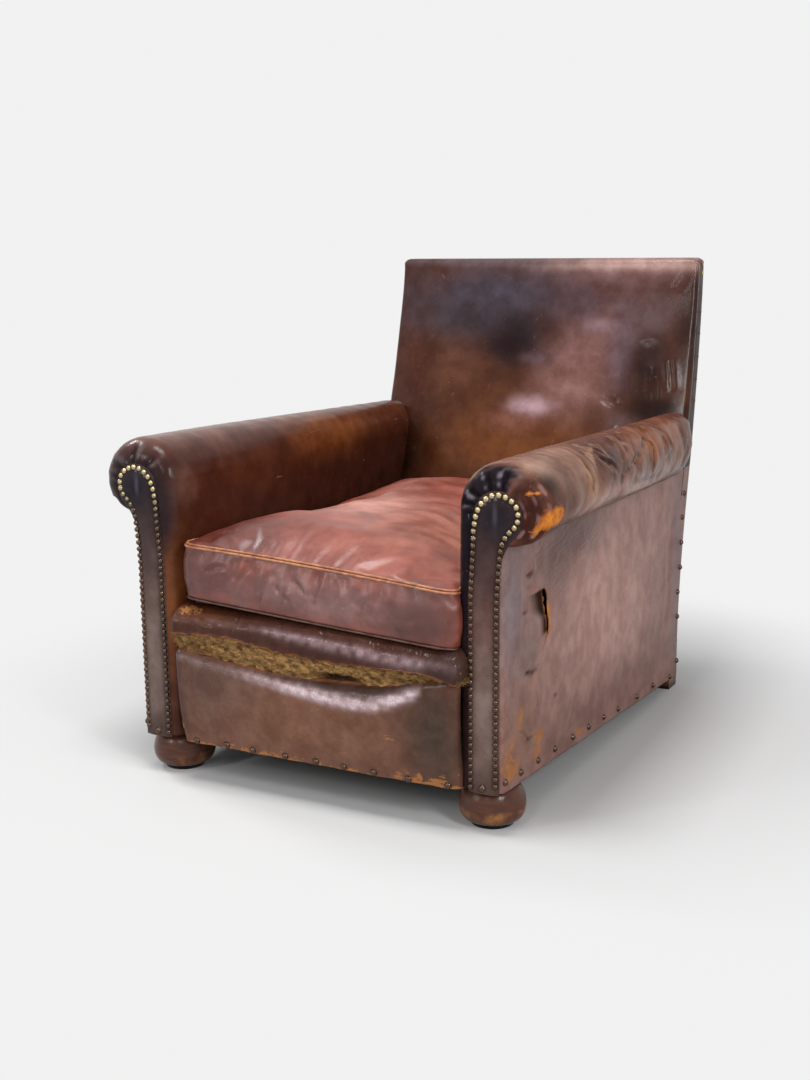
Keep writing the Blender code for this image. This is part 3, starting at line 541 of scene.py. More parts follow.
def leather(name, rough=0.36, grain=1.0, specks=1.0, soft=0.07, shine=0.13, hollow=False):
    """Old waxed hide, coloured by what is painted on the piece.

    tone is its colour, with painted highlight and shade on some pieces, worn is how far it is rubbed to tan,
    torn bares the raw suede, crackle breaks it into fine cracks, gloss polishes it, and crease is the distance
    to the nearest crease, where a pale line shows.
    With hollow, the paint dull takes its shine away. The other hides keep theirs as a plain number.
    """
    hide = Finish(name)
    tone = hide.painted("tone", "Color")
    mottle = hide.noise(26, 6, 0.62)
    fine = hide.noise(230, 4, 0.6)
    colour = hide.mix(hide.ramp(mottle, 0.30, 0.72), hide.mix(1.0, tone, "d2c6c2", "MULTIPLY"), tone)
    dark = hide.times(hide.ramp(fine, 0.58, 0.74), 0.24 * specks)
    colour = hide.mix(dark, colour, "1d100b")
    scratch = hide.ramp(hide.noise(60, 3, 0.5, (3.2, 0.25, 1.4), 1.5), 0.70, 0.76, 0, 0.30)
    colour = hide.mix(scratch, colour, "a87c62")
    shell = hide.cells(150, "DISTANCE_TO_EDGE", hide.warped(0.006))
    split = hide.times(hide.ramp(shell, 0.09, 0.02), hide.painted("crackle"))
    colour = hide.mix(hide.times(split, 0.75), colour, "1a0e0a")
    crooked = hide.plus(hide.painted("crease"), hide.ramp(fine, 0, 1, -0.0016, 0.0016))
    line = hide.ramp(crooked, 0.0014, 0.0003)
    line = hide.times(line, hide.ramp(mottle, 0.45, 0.62, 0, 0.5))
    colour = hide.mix(line, colour, "a67c5c")
    patchy = hide.times(hide.maths("SUBTRACT", mottle, 0.5), 1.4)
    rubbed = hide.plus(hide.painted("worn"), patchy)
    rubbed = hide.plus(rubbed, hide.times(hide.maths("SUBTRACT", fine, 0.5), 0.9))
    rubbed = hide.ramp(rubbed, 0.55 - soft, 0.55 + soft)
    flesh = hide.mix(hide.noise(90, 5, 0.65), "8c5430", "bd8350")
    colour = hide.mix(hide.times(rubbed, 0.9), colour, flesh)
    suede = hide.mix(hide.ramp(hide.noise(70, 5, 0.6), 0.30, 0.70), "a35a28", "da8838")
    torn = hide.painted("torn")
    colour = hide.mix(torn, colour, suede)
    roughness = hide.ramp(mottle, 0.25, 0.75, rough - 0.03, rough + 0.03)
    roughness = hide.maths("SUBTRACT", roughness, hide.times(hide.painted("gloss"), 0.04))
    roughness = hide.plus(roughness, hide.times(hide.maths("MAXIMUM", rubbed, torn), 0.35))
    normal = hide.bump(hide.cells(520, "SMOOTH_F1"), 0.00030, 0.5 * grain)
    normal = hide.bump(hide.noise(75, 5, 0.6), 0.0007, 0.4 * grain, normal)
    normal = hide.bump(split, -0.0008, 0.8, normal)
    normal = hide.bump(hide.maths("MAXIMUM", rubbed, torn), -0.0005, 0.6, normal)
    if hollow:
        shine = hide.times(hide.maths("SUBTRACT", 1.0, hide.painted("dull")), shine)
    return hide.finish(colour, roughness, normal, Specular_IOR_Level=shine)


def smooth(value, low, high):
    """0 below low and 1 above high, with a smooth step between; low may be above high."""
    part = np.clip((value - low) / (high - low), 0, 1)
    return part * part * (3 - 2 * part)


def wear(tone, **painted):
    """The paints that a leather piece needs, all at nothing but those given."""
    nothing = {key: np.zeros(tone.shape[:-1]) for key in ("worn", "torn", "crackle", "gloss")}
    return {"tone": tone, "crease": np.full(tone.shape[:-1], 0.05), **nothing, **painted}


base = arm_grid()
skin = normals(base)
from_front = base[..., 1] - FACE_Y
round_head = np.arctan2(base[..., 2] - HEAD_Z, base[..., 0] - HEAD_X)
over_roll = np.arctan2(base[..., 2] - roll_centre(from_front), base[..., 0] - 0.313)
over_roll = np.where(over_roll < -2.6, over_roll + 2 * math.pi, over_roll)
steps = np.linalg.norm(np.diff(base, axis=0, prepend=base[:1]), axis=-1)
from_nails = np.cumsum(steps, axis=0)

# Pleats of the front edge: (angle round the head in degrees, width, height, slant, where it ends).
PLEATS = {
    "left": [(88, 0.10, 2.2, 0.2, 0.050), (58, 0.12, 2.0, -1.0, 0.060), (32, 0.10, 1.6, -1.0, 0.055)]
    + [(122, 0.10, 1.5, 0.5, 0.045), (8, 0.10, 1.5, 0.0, 0.045), (-22, 0.10, 1.8, 0.0, 0.050)],
    "right": [(176, 0.07, 1.5, 0.4, 0.035), (158, 0.08, 1.6, 0.6, 0.040), (138, 0.10, 1.8, 0.6, 0.050)]
    + [(112, 0.10, 1.6, 0.0, 0.050), (84, 0.10, 1.5, 0.0, 0.055), (56, 0.12, 2.0, 0.0, 0.050)]
    + [(20, 0.12, 1.4, 0.0, 0.045), (-18, 0.12, 1.6, 0.0, 0.040)],
}


def pleats(side):
    """Height of the pleats: each an overlapping fold, steep on one side, that dies out along the arm."""
    height = np.zeros(base.shape[:2])
    for angle, width, rise, slant, end in PLEATS[side]:
        across = (round_head - math.radians(angle) - slant * from_nails * 8) / width
        fold = across * np.exp(-np.abs(across) ** 1.6) * 1.5
        height += 0.0014 * rise * fold * smooth(from_nails, 0.0, 0.008) * smooth(from_nails, end, end * 0.45)
    return height


def crumpled(places, size, seed):
    """Folds of slack hide: the fourth root of an uneven field's size; swells meet in sharp valleys."""
    field = unevenness(np.concatenate([places, 0 * places[..., :1]], -1), size, seed)
    return (field**2 + 0.012) ** 0.25 - 0.75, np.abs(field) * size / 7


# Routes of the deep creases on the right roll, as (distance back, degrees round the roll), width and depth.
ROLL_CREASES = [
    ([(0.202, 92), (0.200, 51), (0.197, 33), (0.195, 17), (0.176, 2)], 0.0050, 0.0030),
    ([(0.520, 100), (0.518, 59), (0.535, 38), (0.516, 14), (0.504, -8)], 0.0055, 0.0034),
    ([(0.520, 62), (0.499, 49), (0.420, 27), (0.350, 16), (0.317, 9)], 0.0060, 0.0026),
    ([(0.250, 66), (0.272, 40), (0.310, 23)], 0.0060, 0.0034),
    ([(0.600, 96), (0.640, 60), (0.655, 24)], 0.0070, 0.0026),
    ([(0.290, -6), (0.348, -17), (0.492, -31), (0.62, -44)], 0.0090, -0.0034),
    ([(0.440, 84), (0.400, 52), (0.385, 34)], 0.0060, 0.0026),
    ([(0.120, 96), (0.128, 60), (0.120, 28)], 0.0050, 0.0018),
]

arc = 0.066 * over_roll
roll_places = np.stack([from_front, arc], -1)
routes = [([(b, math.radians(a) * 0.066) for b, a in path], w, d) for path, w, d in ROLL_CREASES]
folds, nearest_crease = creases(roll_places, routes)
on_roll = smooth(base[..., 2], 0.415, 0.455)
slanted = np.stack([0.90 * from_front - 0.62 * arc, 0.20 * from_front + 0.32 * arc], -1)
broad, near_broad = crumpled(slanted, 0.078, 11)
slight, _ = crumpled(slanted * (1.0, 1.8), 0.030, 13)
slack = 0.0032 * broad + 0.0004 * slight
slack *= smooth(from_front, 0.045, 0.13) * smooth(np.degrees(over_roll), 118, 84)
slack *= 0.45 + 0.55 * smooth(arc, -0.06, 0.0)
nearest_crease = np.minimum(nearest_crease, near_broad + 0.05 * (slack > -0.0012))
gathers = 0.0017 * np.cos(2 * math.pi * (from_nails - 0.010) / 0.019)
gathers *= smooth(from_nails, 0.004, 0.012) * smooth(from_nails, 0.060, 0.040)
gathers *= smooth(np.degrees(round_head), 58, 36) * smooth(np.degrees(round_head), -95, -45)

DARK_HEAD, WORN_TOP, DEEP_SHADE = "1d1920", "957466", "24120d"
arm_hides = {
    "left": leather("arm_leather", 0.23, specks=0.7),
    "right": leather("worn_arm_leather", 0.24, specks=0.7, shine=0.03),
}
for side, sign in SIDES:
    lift = pleats(side) + 0.0004 * unevenness(base, 0.03, 5)
    if side == "right":
        lift = lift + folds * on_roll + slack + gathers
    points = base + skin * lift[..., None]
    # Painted highlight on the pleats' crests (glint) and painted shade in their valleys (valley).
    pleat_high = pleats(side) + 0.0003 * unevenness(base, 0.012, 6)
    glint = smooth(pleat_high, 0.0002, 0.0014)
    glint = glint * smooth(from_nails, 0.010, 0.018) * smooth(from_nails, 0.048, 0.034)
    valley = smooth(pleat_high, -0.0003, -0.0011)
    valley = valley * smooth(from_nails, 0.004, 0.012) * smooth(from_nails, 0.060, 0.040)
    if side == "right":
        tone = stain(
            points,
            "6c463a",
            [
                (0.33, 0.16, 0.56, 0.12, 0.16, 0.05, WORN_TOP, 0.9),
                (0.31, 0.50, 0.565, 0.10, 0.35, 0.03, "6f4c42", 0.8),
                # painted highlight: a pale band along the outer side of the roll
                (0.38, 0.24, 0.465, 0.05, 0.12, 0.022, "b9968b", 0.85),
                (0.37, 0.11, 0.50, 0.05, 0.05, 0.05, "745b51", 0.85),
                (0.37, 0.185, 0.49, 0.05, 0.035, 0.03, "bd9273", 0.6),
                (0.36, 0.29, 0.52, 0.06, 0.060, 0.035, "332124", 0.9),
                (0.36, 0.44, 0.50, 0.06, 0.045, 0.030, "5e332a", 0.8),
                (0.36, 0.54, 0.505, 0.06, 0.075, 0.040, "9a5f3d", 0.85),
                # painted highlight: the pale band along the outer side, further back
                (0.36, 0.47, 0.455, 0.07, 0.16, 0.020, "b99c95", 0.85),
                (0.34, 0.70, 0.50, 0.08, 0.06, 0.06, "9a6650", 0.85),
                (0.28, 0.55, 0.55, 0.05, 0.30, 0.04, "714a3a", 0.7),
                (0.262, 0.01, 0.25, 0.02, 0.03, 0.16, "7a4f38", 0.9),
                (0.255, 0, 0.43, 0.03, 0.03, 0.05, DARK_HEAD, 0.9),
                (0.37, 0.035, 0.520, 0.04, 0.024, 0.030, "352722", 0.9),
                (0.338, 0.046, 0.540, 0.030, 0.030, 0.014, "b18f7e", 0.85),
            ],
            seed=21,
        )
        # Painted shade darkens the valleys of the folds and creases; the ridges are rubbed paler.
        hollow = smooth(slack + folds, -0.0002, -0.0026) * on_roll
        ridge = smooth(slack + folds, 0.0000, 0.0011) * on_roll * smooth(from_front, 0.07, 0.15)
        angle = np.degrees(round_head) % 360
        rag = 0.006 * unevenness(points, 0.020, 33)
        dark = 0.98 * smooth(from_nails + 1.6 * rag, 0.056, 0.036)
        dark = dark * smooth(angle + 1400 * rag, 54, 74) * smooth(angle, 300, 250)
        red = 0.88 * smooth(from_nails + rag, 0.052, 0.032)
        red = red * (1 - smooth(angle + 900 * rag, 46, 66) * smooth(angle, 330, 300))
        # Painted highlight along the crests of the gathers.
        gather_highlights = 0.45 * smooth(gathers + rag / 6, 0.0009, 0.0015) * smooth(rag, -0.002, 0.003)
        tan = 0.45 * bell(nearest_crease / 0.0050) * on_roll * smooth(rag, -0.003, 0.003)
        layers = (
            # painted shade in the valleys of the folds
            (0.62 * hollow, "2c1811"),
            (0.30 * ridge, "a27c69"),
            (tan, "a4836e"),
            (red, "3c1f1b"),
            (gather_highlights, "a67f7c"),
            (dark, DARK_HEAD),
            # painted glints on the pleat crests, then painted shade in their valleys
            (0.75 * glint * dark * smooth(rag, -0.004, 0.002), "8b8492"),
            (0.8 * valley * dark, "08070a"),
        )
        for share, code in layers:
            lay(tone, code, share)
        ragged = 0.0030 * unevenness(points, 0.020, 31) + 0.0016 * unevenness(points, 0.007, 32)
        bare_edge = np.array(((0.366, 0.002, 0.453), (0.379, 0.016, 0.467), (0.388, 0.046, 0.469)))
        bare, run = distance_to(points, bare_edge + (0, FACE_Y, 0))
        line, _ = distance_to(points, [(0.353, FACE_Y + 0.002, 0.506), (0.373, FACE_Y + 0.018, 0.5055)])
        torn = 0.97 * smooth(bare - 0.012 * smooth(run, 0, 0.6) + 1.2 * ragged, 0.0070, -0.0010)
        torn = torn + 0.85 * smooth(line + 0.9 * ragged, 0.0034, 0.0012)
        scab = np.linalg.norm((points - (0.356, FACE_Y + 0.012, 0.519)) * (1, 0.8, 1.2), axis=-1)
        worn = 0.35 * bell((scab + ragged - 0.0125) / 0.0022) + 0.40 * smooth(bare + ragged, 0.022, 0.010)
        worn += 0.42 * spot(points, (0.300, FACE_Y + 0.040, 0.545), (0.035, 0.020, 0.008))
        worn += 0.10 * spot(points, (0.36, FACE_Y + 0.45, 0.50), (0.10, 0.40, 0.08))
        paints = wear(tone, torn=torn, worn=worn, crease=nearest_crease + 0.03 * (1 - on_roll))
    else:
        tone = stain(
            points,
            "47251a",
            [
                # painted shade: near black low on the inner wall, beside the cushion
                (0.25, 0.45, 0.30, 0.10, 0.40, 0.08, DEEP_SHADE, 0.9),
                (0.33, 0.35, 0.56, 0.09, 0.60, 0.040, "7d5a50", 0.9),
                (0.25, 0.52, 0.50, 0.05, 0.16, 0.04, "7e4722", 0.85),
                (0.25, 0.22, 0.47, 0.05, 0.12, 0.03, "5e3320", 0.8),
                (0.27, 0.76, 0.52, 0.07, 0.07, 0.05, "5d3020", 0.7),
                (0.24, 0.10, 0.42, 0.04, 0.08, 0.09, "55291a", 0.8),
                (0.255, 0.015, 0.27, 0.03, 0.04, 0.13, "8a5230", 0.9),
                (0.250, 0.03, 0.47, 0.02, 0.03, 0.03, "7d5548", 0.7),
                (HEAD_X, -0.01, HEAD_Z, 0.080, 0.040, 0.070, DARK_HEAD, 0.97),
                (0.262, 0, 0.42, 0.016, 0.025, 0.06, DARK_HEAD, 0.8),
            ],
            seed=23,
        )
        # Painted glints on the pleat crests and painted shade in their valleys.
        lay(tone, "6f5f62", 0.6 * glint)
        lay(tone, "0d0809", 0.7 * valley)
        paints = wear(tone, worn=np.full(base.shape[:2], -0.12))
        paints["gloss"] = 0.35 + 0 * from_nails
        points = points * (-1, 1, 1)
    if side == "left":
        points, paints = points[::2, ::2], {key: values[::2, ::2] for key, values in paints.items()}
    mesh = grid_mesh(f"arm_cover_{side}", points, flip=sign < 0, paints=paints)
    stands_for = [f"arm_leather_{side}", f"arm_stuffing_{side}"]
    cover = piece(f"arm_cover_{side}", mesh, arm_hides[side], "worn_leather", stands_for, 0.0022)

# ------------------------------------------------------------------ inside back
# One hide is drawn up the front of the stuffed back, over the top rail and round the corners, and a narrow band
# closes each side. Hair oil has blackened the upper part, and backs have rubbed the lower part to a warm tan.

BACK_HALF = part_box("outside_back_leather")[1].x
BACK_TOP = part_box("inside_back_leather")[1].z + 0.006
BACK_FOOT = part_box("inside_back_leather")[0].z + 0.0045
REAR_LINE = np.polyfit((0, 0.13, 0.25, 0.41, 0.54, 0.80), (0.826, 0.824, 0.838, 0.870, 0.904, 0.950), 3)
EDGE_LINE = np.polyfit((0.2665, 0.36, 0.41, 0.53, 0.66, 0.80), (0.785, 0.805, 0.818, 0.858, 0.883, 0.908), 3)


def back_half(z):
    """Half the width of the back at a height: even up to 0.45, and then narrowing in a straight line."""
    return BACK_HALF * (1 - 0.063 * np.maximum(0, z - 0.45))


def back_face(x, z):
    """How far back the face lies: the side line at its edges, swelling forward to the middle as a cubic."""
    edge = np.polyval(EDGE_LINE, z)
    swell = np.minimum(edge, 0.720 + np.maximum(0, z - 0.36) * 0.417)
    return edge - (edge - swell) * (1 - np.abs(x / BACK_HALF) ** 3)


def back_cover(long_rows=170, columns=170):
    """The cover: rows go up the face, over the top in two quarter rounds, and down behind; columns go across.

    At both ends of every row the cover turns in towards the frame by a quarter round and a short flat lip.
    """
    top_round, rear_round, end_round = 0.011, 0.007, 0.0085
    z = np.linspace(BACK_FOOT, BACK_TOP - top_round, long_rows)
    front, behind = np.radians(np.linspace(0, 90, 14))[1:], np.radians(np.linspace(0, 90, 9))[1:]
    level = np.linspace(0, 1, 8)[1:]
    rear = np.polyval(REAR_LINE, BACK_TOP) - 0.001
    rows_z = np.concatenate(
        [
            z,
            BACK_TOP - top_round + top_round * np.sin(front),
            np.full(7, BACK_TOP),
            BACK_TOP - rear_round + rear_round * np.cos(behind),
            [BACK_TOP - 0.018],
        ]
    )
    tilt = np.concatenate([0 * z, front, np.full(7, math.pi / 2), math.pi / 2 + behind, [math.pi]])
    turn = np.radians(np.linspace(0, 90, 9))[1:]
    flat = np.linspace(-1, 1, columns)
    over = np.concatenate([np.sin(turn), [1.0]]) * end_round
    sink = np.concatenate([end_round * (1 - np.cos(turn)), [end_round + 0.004]])
    across = np.concatenate([np.full(9, -1.0), flat, np.full(9, 1.0)])
    beyond = np.concatenate([-over[::-1], 0 * flat, over])
    sunk = np.concatenate([sink[::-1], 0 * flat, sink])
    corner = 0.007 - np.sqrt(0.007**2 - np.clip(rows_z - BACK_TOP + 0.007, 0, 0.007) ** 2)
    half = back_half(rows_z)[:, None] - end_round - corner[:, None]
    x = across * half + beyond
    face = back_face(x, np.minimum(rows_z, BACK_TOP - top_round)[:, None])
    a = face.copy()
    first = long_rows
    a[first : first + 13] = face[first : first + 13] + top_round * (1 - np.cos(front))[:, None]
    start = face[first] + top_round
    a[first + 13 : first + 20] = start + (rear - rear_round - start) * level[:, None]
    a[first + 20 : first + 28] = rear - rear_round + rear_round * np.sin(behind)[:, None]
    a[first + 28] = rear
    a = a + sunk * np.cos(tilt)[:, None]
    height = rows_z[:, None] - sunk * np.sin(tilt)[:, None]
    return np.stack([x, FACE_Y + a, height], -1)


# Creases of the face, as (across, height), with width and depth; a negative depth stands up as a ridge.
BACK_CREASES = [
    ([(0.181, 0.600), (0.181, 0.582), (0.194, 0.539)], 0.0040, 0.0014),
    ([(0.194, 0.600), (0.200, 0.560), (0.212, 0.514)], 0.0040, 0.0018),
    ([(0.215, 0.596), (0.222, 0.560)], 0.0036, 0.0014),
    ([(0.247, 0.606), (0.252, 0.575), (0.260, 0.542)], 0.0040, 0.0018),
    ([(0.276, 0.622), (0.282, 0.592), (0.287, 0.560)], 0.0040, 0.0018),
    ([(0.160, 0.552), (0.192, 0.536), (0.204, 0.500), (0.198, 0.462)], 0.0075, 0.0030),
    ([(0.010, 0.600), (0.085, 0.628), (0.135, 0.672), (0.190, 0.715)], 0.0260, -0.0020),
    ([(0.232, 0.655), (0.236, 0.610), (0.240, 0.560)], 0.0200, 0.0024),
    ([(0.292, 0.780), (0.272, 0.745)], 0.0080, 0.0012),
    ([(-0.24, 0.520), (-0.20, 0.450), (-0.19, 0.390)], 0.0200, 0.0018),
]

base = back_cover()
skin = normals(base)
places = base[..., (0, 2)]
folds, _ = creases(places, BACK_CREASES)
on_face = smooth(base[..., 2], BACK_TOP - 0.006, BACK_TOP - 0.022)
belly = 0.0050 * spot(places, (0.005, 0.505), (0.075, 0.036))
hollow = -0.0015 * spot(places, (0.015, 0.565), (0.10, 0.030))
slack = 0.0009 * unevenness(base, 0.18, 61) + 0.00012 * unevenness(base, 0.040, 62)
points = base + skin * ((folds + belly + hollow + slack) * on_face)[..., None]
FAR = 0.6  # a reach so long that a patch covers every depth
# Patches of the face as (across, height, reach across, reach up, colour, strength): stains and wear, and the
# painted highlights marked below.
BACK_STAINS_AND_HIGHLIGHTS = [
    (0.17, 0.700, 0.120, 0.110, "573b3b", 0.70),
    (0.00, 0.460, 0.150, 0.065, "6c3e1e", 0.95),
    (-0.27, 0.420, 0.080, 0.100, "0a0403", 0.97),
    (-0.25, 0.580, 0.055, 0.090, "431f12", 0.85),
    (-0.15, 0.595, 0.050, 0.050, "5f3b2d", 0.8),
    # painted highlight over the belly's upper side
    (0.11, 0.605, 0.075, 0.085, "7f5c57", 0.92),
    (0.10, 0.720, 0.050, 0.045, "573c3d", 0.90),
    (0.19, 0.640, 0.026, 0.080, "66535a", 0.85),
    (0.24, 0.700, 0.035, 0.045, "634f50", 0.85),
    (0.24, 0.610, 0.040, 0.070, "2a1612", 0.95),
    (0.26, 0.525, 0.055, 0.030, "1e0a06", 0.95),
    (0.305, 0.680, 0.028, 0.100, "36231f", 0.92),
    (0.15, 0.772, 0.130, 0.016, "76585a", 0.75),
    # painted highlight along the top edge
    (0.19, 0.795, 0.190, 0.014, "b99a93", 0.95),
    (-0.29, 0.730, 0.030, 0.100, "452a28", 0.85),
    (-0.10, 0.735, 0.185, 0.060, "413c47", 0.98),
    (-0.13, 0.690, 0.110, 0.045, "3a3238", 0.92),
    (-0.03, 0.660, 0.078, 0.052, "261c22", 0.98),
    (-0.04, 0.640, 0.036, 0.034, "1c090b", 0.90),
    # painted highlight along the top edge, to the left
    (-0.15, 0.799, 0.200, 0.008, "625459", 0.80),
    # painted highlight on the belly
    (0.02, 0.527, 0.040, 0.018, "ac8f98", 0.92),
    # painted highlight above the belly
    (0.09, 0.563, 0.060, 0.022, "87635e", 0.80),
    (-0.01, 0.502, 0.055, 0.016, "7b5044", 0.80),
    (0.20, 0.500, 0.030, 0.020, "5f4948", 0.80),
    # a faint painted highlight
    (0.02, 0.618, 0.030, 0.010, "5f4e55", 0.60),
    # painted highlight on the diagonal streak
    (0.14, 0.680, 0.035, 0.012, "80666b", 0.75),
]
tone = stain(
    points,
    "4c2b1b",
    [(x, 0.80, z, wide, FAR, high, code, share) for x, z, wide, high, code, share in BACK_STAINS_AND_HIGHLIGHTS],
    seed=63,
    ragged=0.22,
)
gloss = 0.9 * spot(places, (0.05, 0.57), (0.18, 0.10))
paints = wear(tone, gloss=gloss, worn=np.full(base.shape[:2], -0.3))
back_leather = leather("back_leather", 0.22, grain=0.6, specks=0.4)
mesh = grid_mesh("back_cover", points, flip=False, paints=paints)
back = piece(
    "inside_back_cover", mesh, back_leather, "worn_leather", ["inside_back_leather", "back_stuffing"], 0.0022
)


def turned_in(count, reach):
    """Places from 0 to 1 with extra ones at both ends, and how deep each is turned in by a quarter round."""
    turn = np.radians(np.linspace(0, 90, 6))[:-1]
    ends, sunk = reach * np.sin(turn), 1 - np.sin(turn)
    places = np.concatenate([ends, np.linspace(reach, 1 - reach, count), 1 - ends[::-1]])
    return places, np.concatenate([sunk, np.zeros(count), sunk[::-1]])


def domes(centres, ways, radius, rise):
    """Domed nail heads as one mesh: each a quarter ellipse turned about its own axis, over a short rim."""
    turn = np.linspace(0, 2 * math.pi, 13)[:-1]
    tilt = np.radians((0, 28, 55, 78, 90))
    out = np.concatenate([[0, radius], radius * np.cos(tilt)])
    up = np.concatenate([[-0.0012, -0.0012], rise * np.sin(tilt)])
    centres = np.asarray(centres, float)
    ways = unit(np.broadcast_to(np.asarray(ways, float), centres.shape))
    side = unit(np.cross(ways, (0.12, 0.31, 0.94)))
    other = np.cross(ways, side)
    ring = side[:, None] * np.cos(turn)[:, None] + other[:, None] * np.sin(turn)[:, None]
    points = centres[:, None, None] + out[:, None, None] * ring[:, None]
    points = points + up[:, None, None] * ways[:, None, None]
    return joined("nails", [grid_mesh("nail", nail, wrap=True) for nail in points], 1e-6, outwards=True)


def nail_brass(name, bright_from, bright_to):
    """Aged brass, dark in its pits; between two heights it turns from dark bronze to rubbed bright yellow."""
    brass = Finish(name)
    height = brass.add("SeparateXYZ", 2, {0: brass.place})
    spots = brass.noise(330, 3)
    bright = brass.ramp(brass.plus(height, brass.ramp(spots, 0, 1, -0.03, 0.03)), bright_from, bright_to)
    colour = brass.mix(bright, "5a463a", "b5a47c")
    colour = brass.mix(brass.ramp(spots, 0.62, 0.75), colour, "1e140e")
    return brass.finish(colour, brass.ramp(bright, 0, 1, 0.26, 0.32), Metallic=0.9)


BAND_NAILS = (0.778, 0.739, 0.705, 0.665, 0.622, 0.580, 0.540)
band_leather = leather("band_leather", 0.42)
band_brass = nail_brass("band_brass", 0.72, 0.80)
for side, sign in SIDES:
    along, deep_along = turned_in(120, 0.01)
    across, deep_across = turned_in(16, 0.12)
    z = (0.30 + (BACK_TOP - 0.005 - 0.30) * along)[:, None]
    front, rear = np.polyval(EDGE_LINE, z) + 0.009, np.polyval(REAR_LINE, z) - 0.002
    a = front + (rear - front) * across
    swell = 0.0012 * (1 - (2 * across - 1) ** 4)
    x = back_half(z) - 0.0016 + swell - 0.004 * deep_across - 0.004 * deep_along[:, None]
    points = np.stack([x, FACE_Y + a, z + 0 * a], -1)
    points[..., 0] += 0.0005 * unevenness(points, 0.04, 66)
    tone = stain(points, "3a2925", [(0.31, 0.93, 0.79, 0.05, 0.03, 0.03, "6a4a3a", 0.6)], seed=67)
    worn = 0.35 * bell((points[..., 2] - 0.80) / 0.03)
    paints = wear(tone, worn=worn)
    mesh = grid_mesh(f"back_band_{side}", points * (sign, 1, 1), flip=sign < 0, paints=paints)
    piece(f"back_side_band_{side}", mesh, band_leather, "worn_leather", (), 0.0018)
    heights = np.array(BAND_NAILS)
    behind = np.polyval(REAR_LINE, heights) - 0.011
    centres = np.stack([sign * back_half(heights), FACE_Y + behind, heights], -1)
    nails = domes(centres - (sign * 0.0008, 0, 0), (sign, 0, 0), 0.0036, 0.0022)
    piece(f"back_band_nails_{side}", nails, band_brass, "nail_brass")

# ------------------------------------------------------------------ front border
# The panel under the seat front is nailed along its foot and has slipped at the top, so that it hangs forward
# in a long swag. Its stuffing has gone flat, and the finish is flaking off along the foot.

BORDER_LOW, BORDER_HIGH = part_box("front_border_leather")
RIDGE = (
    (-0.25, -0.154, -0.05, 0.043, 0.09, 0.135, 0.165, 0.195, 0.27),
    (214, 201, 187, 177, 173, 180, 192, 209, 217),
)
BORDER_NAILS = (-0.208, -0.151, -0.101, -0.043, 0.012, 0.063, 0.115, 0.172, 0.237)
BORDER_NAIL_HEIGHT = 0.0705


def border_top(x):
    """Height of the torn upper edge: a shallow parabola, higher at both ends, the right one above all."""
    bend = 0.2020 + 0.25 * x**2 - 0.03 * np.minimum(x, 0)
    return bend + 0.003 * smooth(x, -0.05, 0.08) + 0.012 * smooth(x, 0.10, 0.25)


def smooth_line(x, places, values, blur=0.022):
    """Values between given places, rounded off by a running average as wide as blur."""
    shifts = np.linspace(-blur, blur, 9)
    return np.mean([np.interp(x + shift, places, values) for shift in shifts], axis=0)


def border_face(columns=200, rows=110):
    """The face, as rows across it from the upper edge to the foot.

    It leans out as a quarter ellipse from the edge to the ridge of the swag, hangs plumb and then comes back in
    as a power curve to the foot. Both ends turn back beside the arms as quarter rounds.
    """
    across = np.linspace(0, 1, columns)[None]
    x = BORDER_LOW.x + (BORDER_HIGH.x - BORDER_LOW.x) * across
    top, foot = border_top(x), BORDER_LOW.z + 0.0005
    ridge = smooth_line(x, RIDGE[0], np.array(RIDGE[1]) / 1000)
    share = np.linspace(0, 1, rows)[:, None]
    z = top + (foot - top) * (0.25 * share + 0.75 * share**1.3)
    above = np.clip((z - ridge) / np.maximum(top - ridge, 0.004), 0, 1)
    below = np.clip((ridge - z) / (ridge - foot), 0, 1)
    swag = 0.009 + 0.012 * smooth(x, 0.215, 0.165)
    a = -0.027 + swag * (1 - np.sqrt(1 - np.clip(above, 0, 0.999) ** 2)) + 0.019 * below**2.2
    a += 0.004 * smooth(x, 0.17, 0.22) * smooth(z, 0.14, 0.20)
    end = np.minimum(across * (BORDER_HIGH.x - BORDER_LOW.x), (1 - across) * (BORDER_HIGH.x - BORDER_LOW.x))
    a += 0.017 * (1 - np.sqrt(1 - np.clip(1 - end / 0.016, 0, 0.999) ** 2))
    return np.stack([x + 0 * z, FACE_Y + a, z], -1), ridge


base, ridge = border_face()
places = base[..., (0, 2)]
routes = [
    ([(-0.215, 0.214), (-0.190, 0.160), (-0.178, 0.110)], 0.009, 0.0012),
    ([(0.150, 0.186), (0.172, 0.194), (0.188, 0.212)], 0.006, -0.0030),
    ([(0.200, 0.150), (0.238, 0.156)], 0.008, 0.0022),
    ([(0.190, 0.120), (0.240, 0.112)], 0.008, 0.0016),
    ([(-0.10, 0.150), (0.02, 0.128), (0.13, 0.132)], 0.016, 0.0012),
]
folds, _ = creases(places, routes)
lumps = 0.0011 * unevenness(base, 0.09, 71) + 0.0005 * unevenness(base, 0.03, 72)
puckers = 0.0007 * bell((places[..., 1] - 0.066) / 0.012)
puckers = puckers * np.cos(2 * math.pi * (places[..., 0] - 0.012) / 0.054)
points = base - (0, 1, 0) * (folds + lumps + puckers)[..., None]
above_foot = places[..., 1] - 0.064
ragged = unevenness(points, 0.022, 73)
worn = 0.62 * np.exp(-np.maximum(0, above_foot / 0.010) ** 1.2) + 0.22 * ragged
worn += 0.66 * spot(places, (-0.232, 0.098), (0.009, 0.016))
streaks = unevenness(points * (0.15, 1, 1), 0.0045, 76)
worn += 0.16 * streaks * smooth(places[..., 1], 0.175, 0.150)
worn += 0.42 * spot(places, (0.215, 0.070), (0.05, 0.012))
worn += 0.40 * spot(places, (0.155, 0.133), (0.020, 0.006))
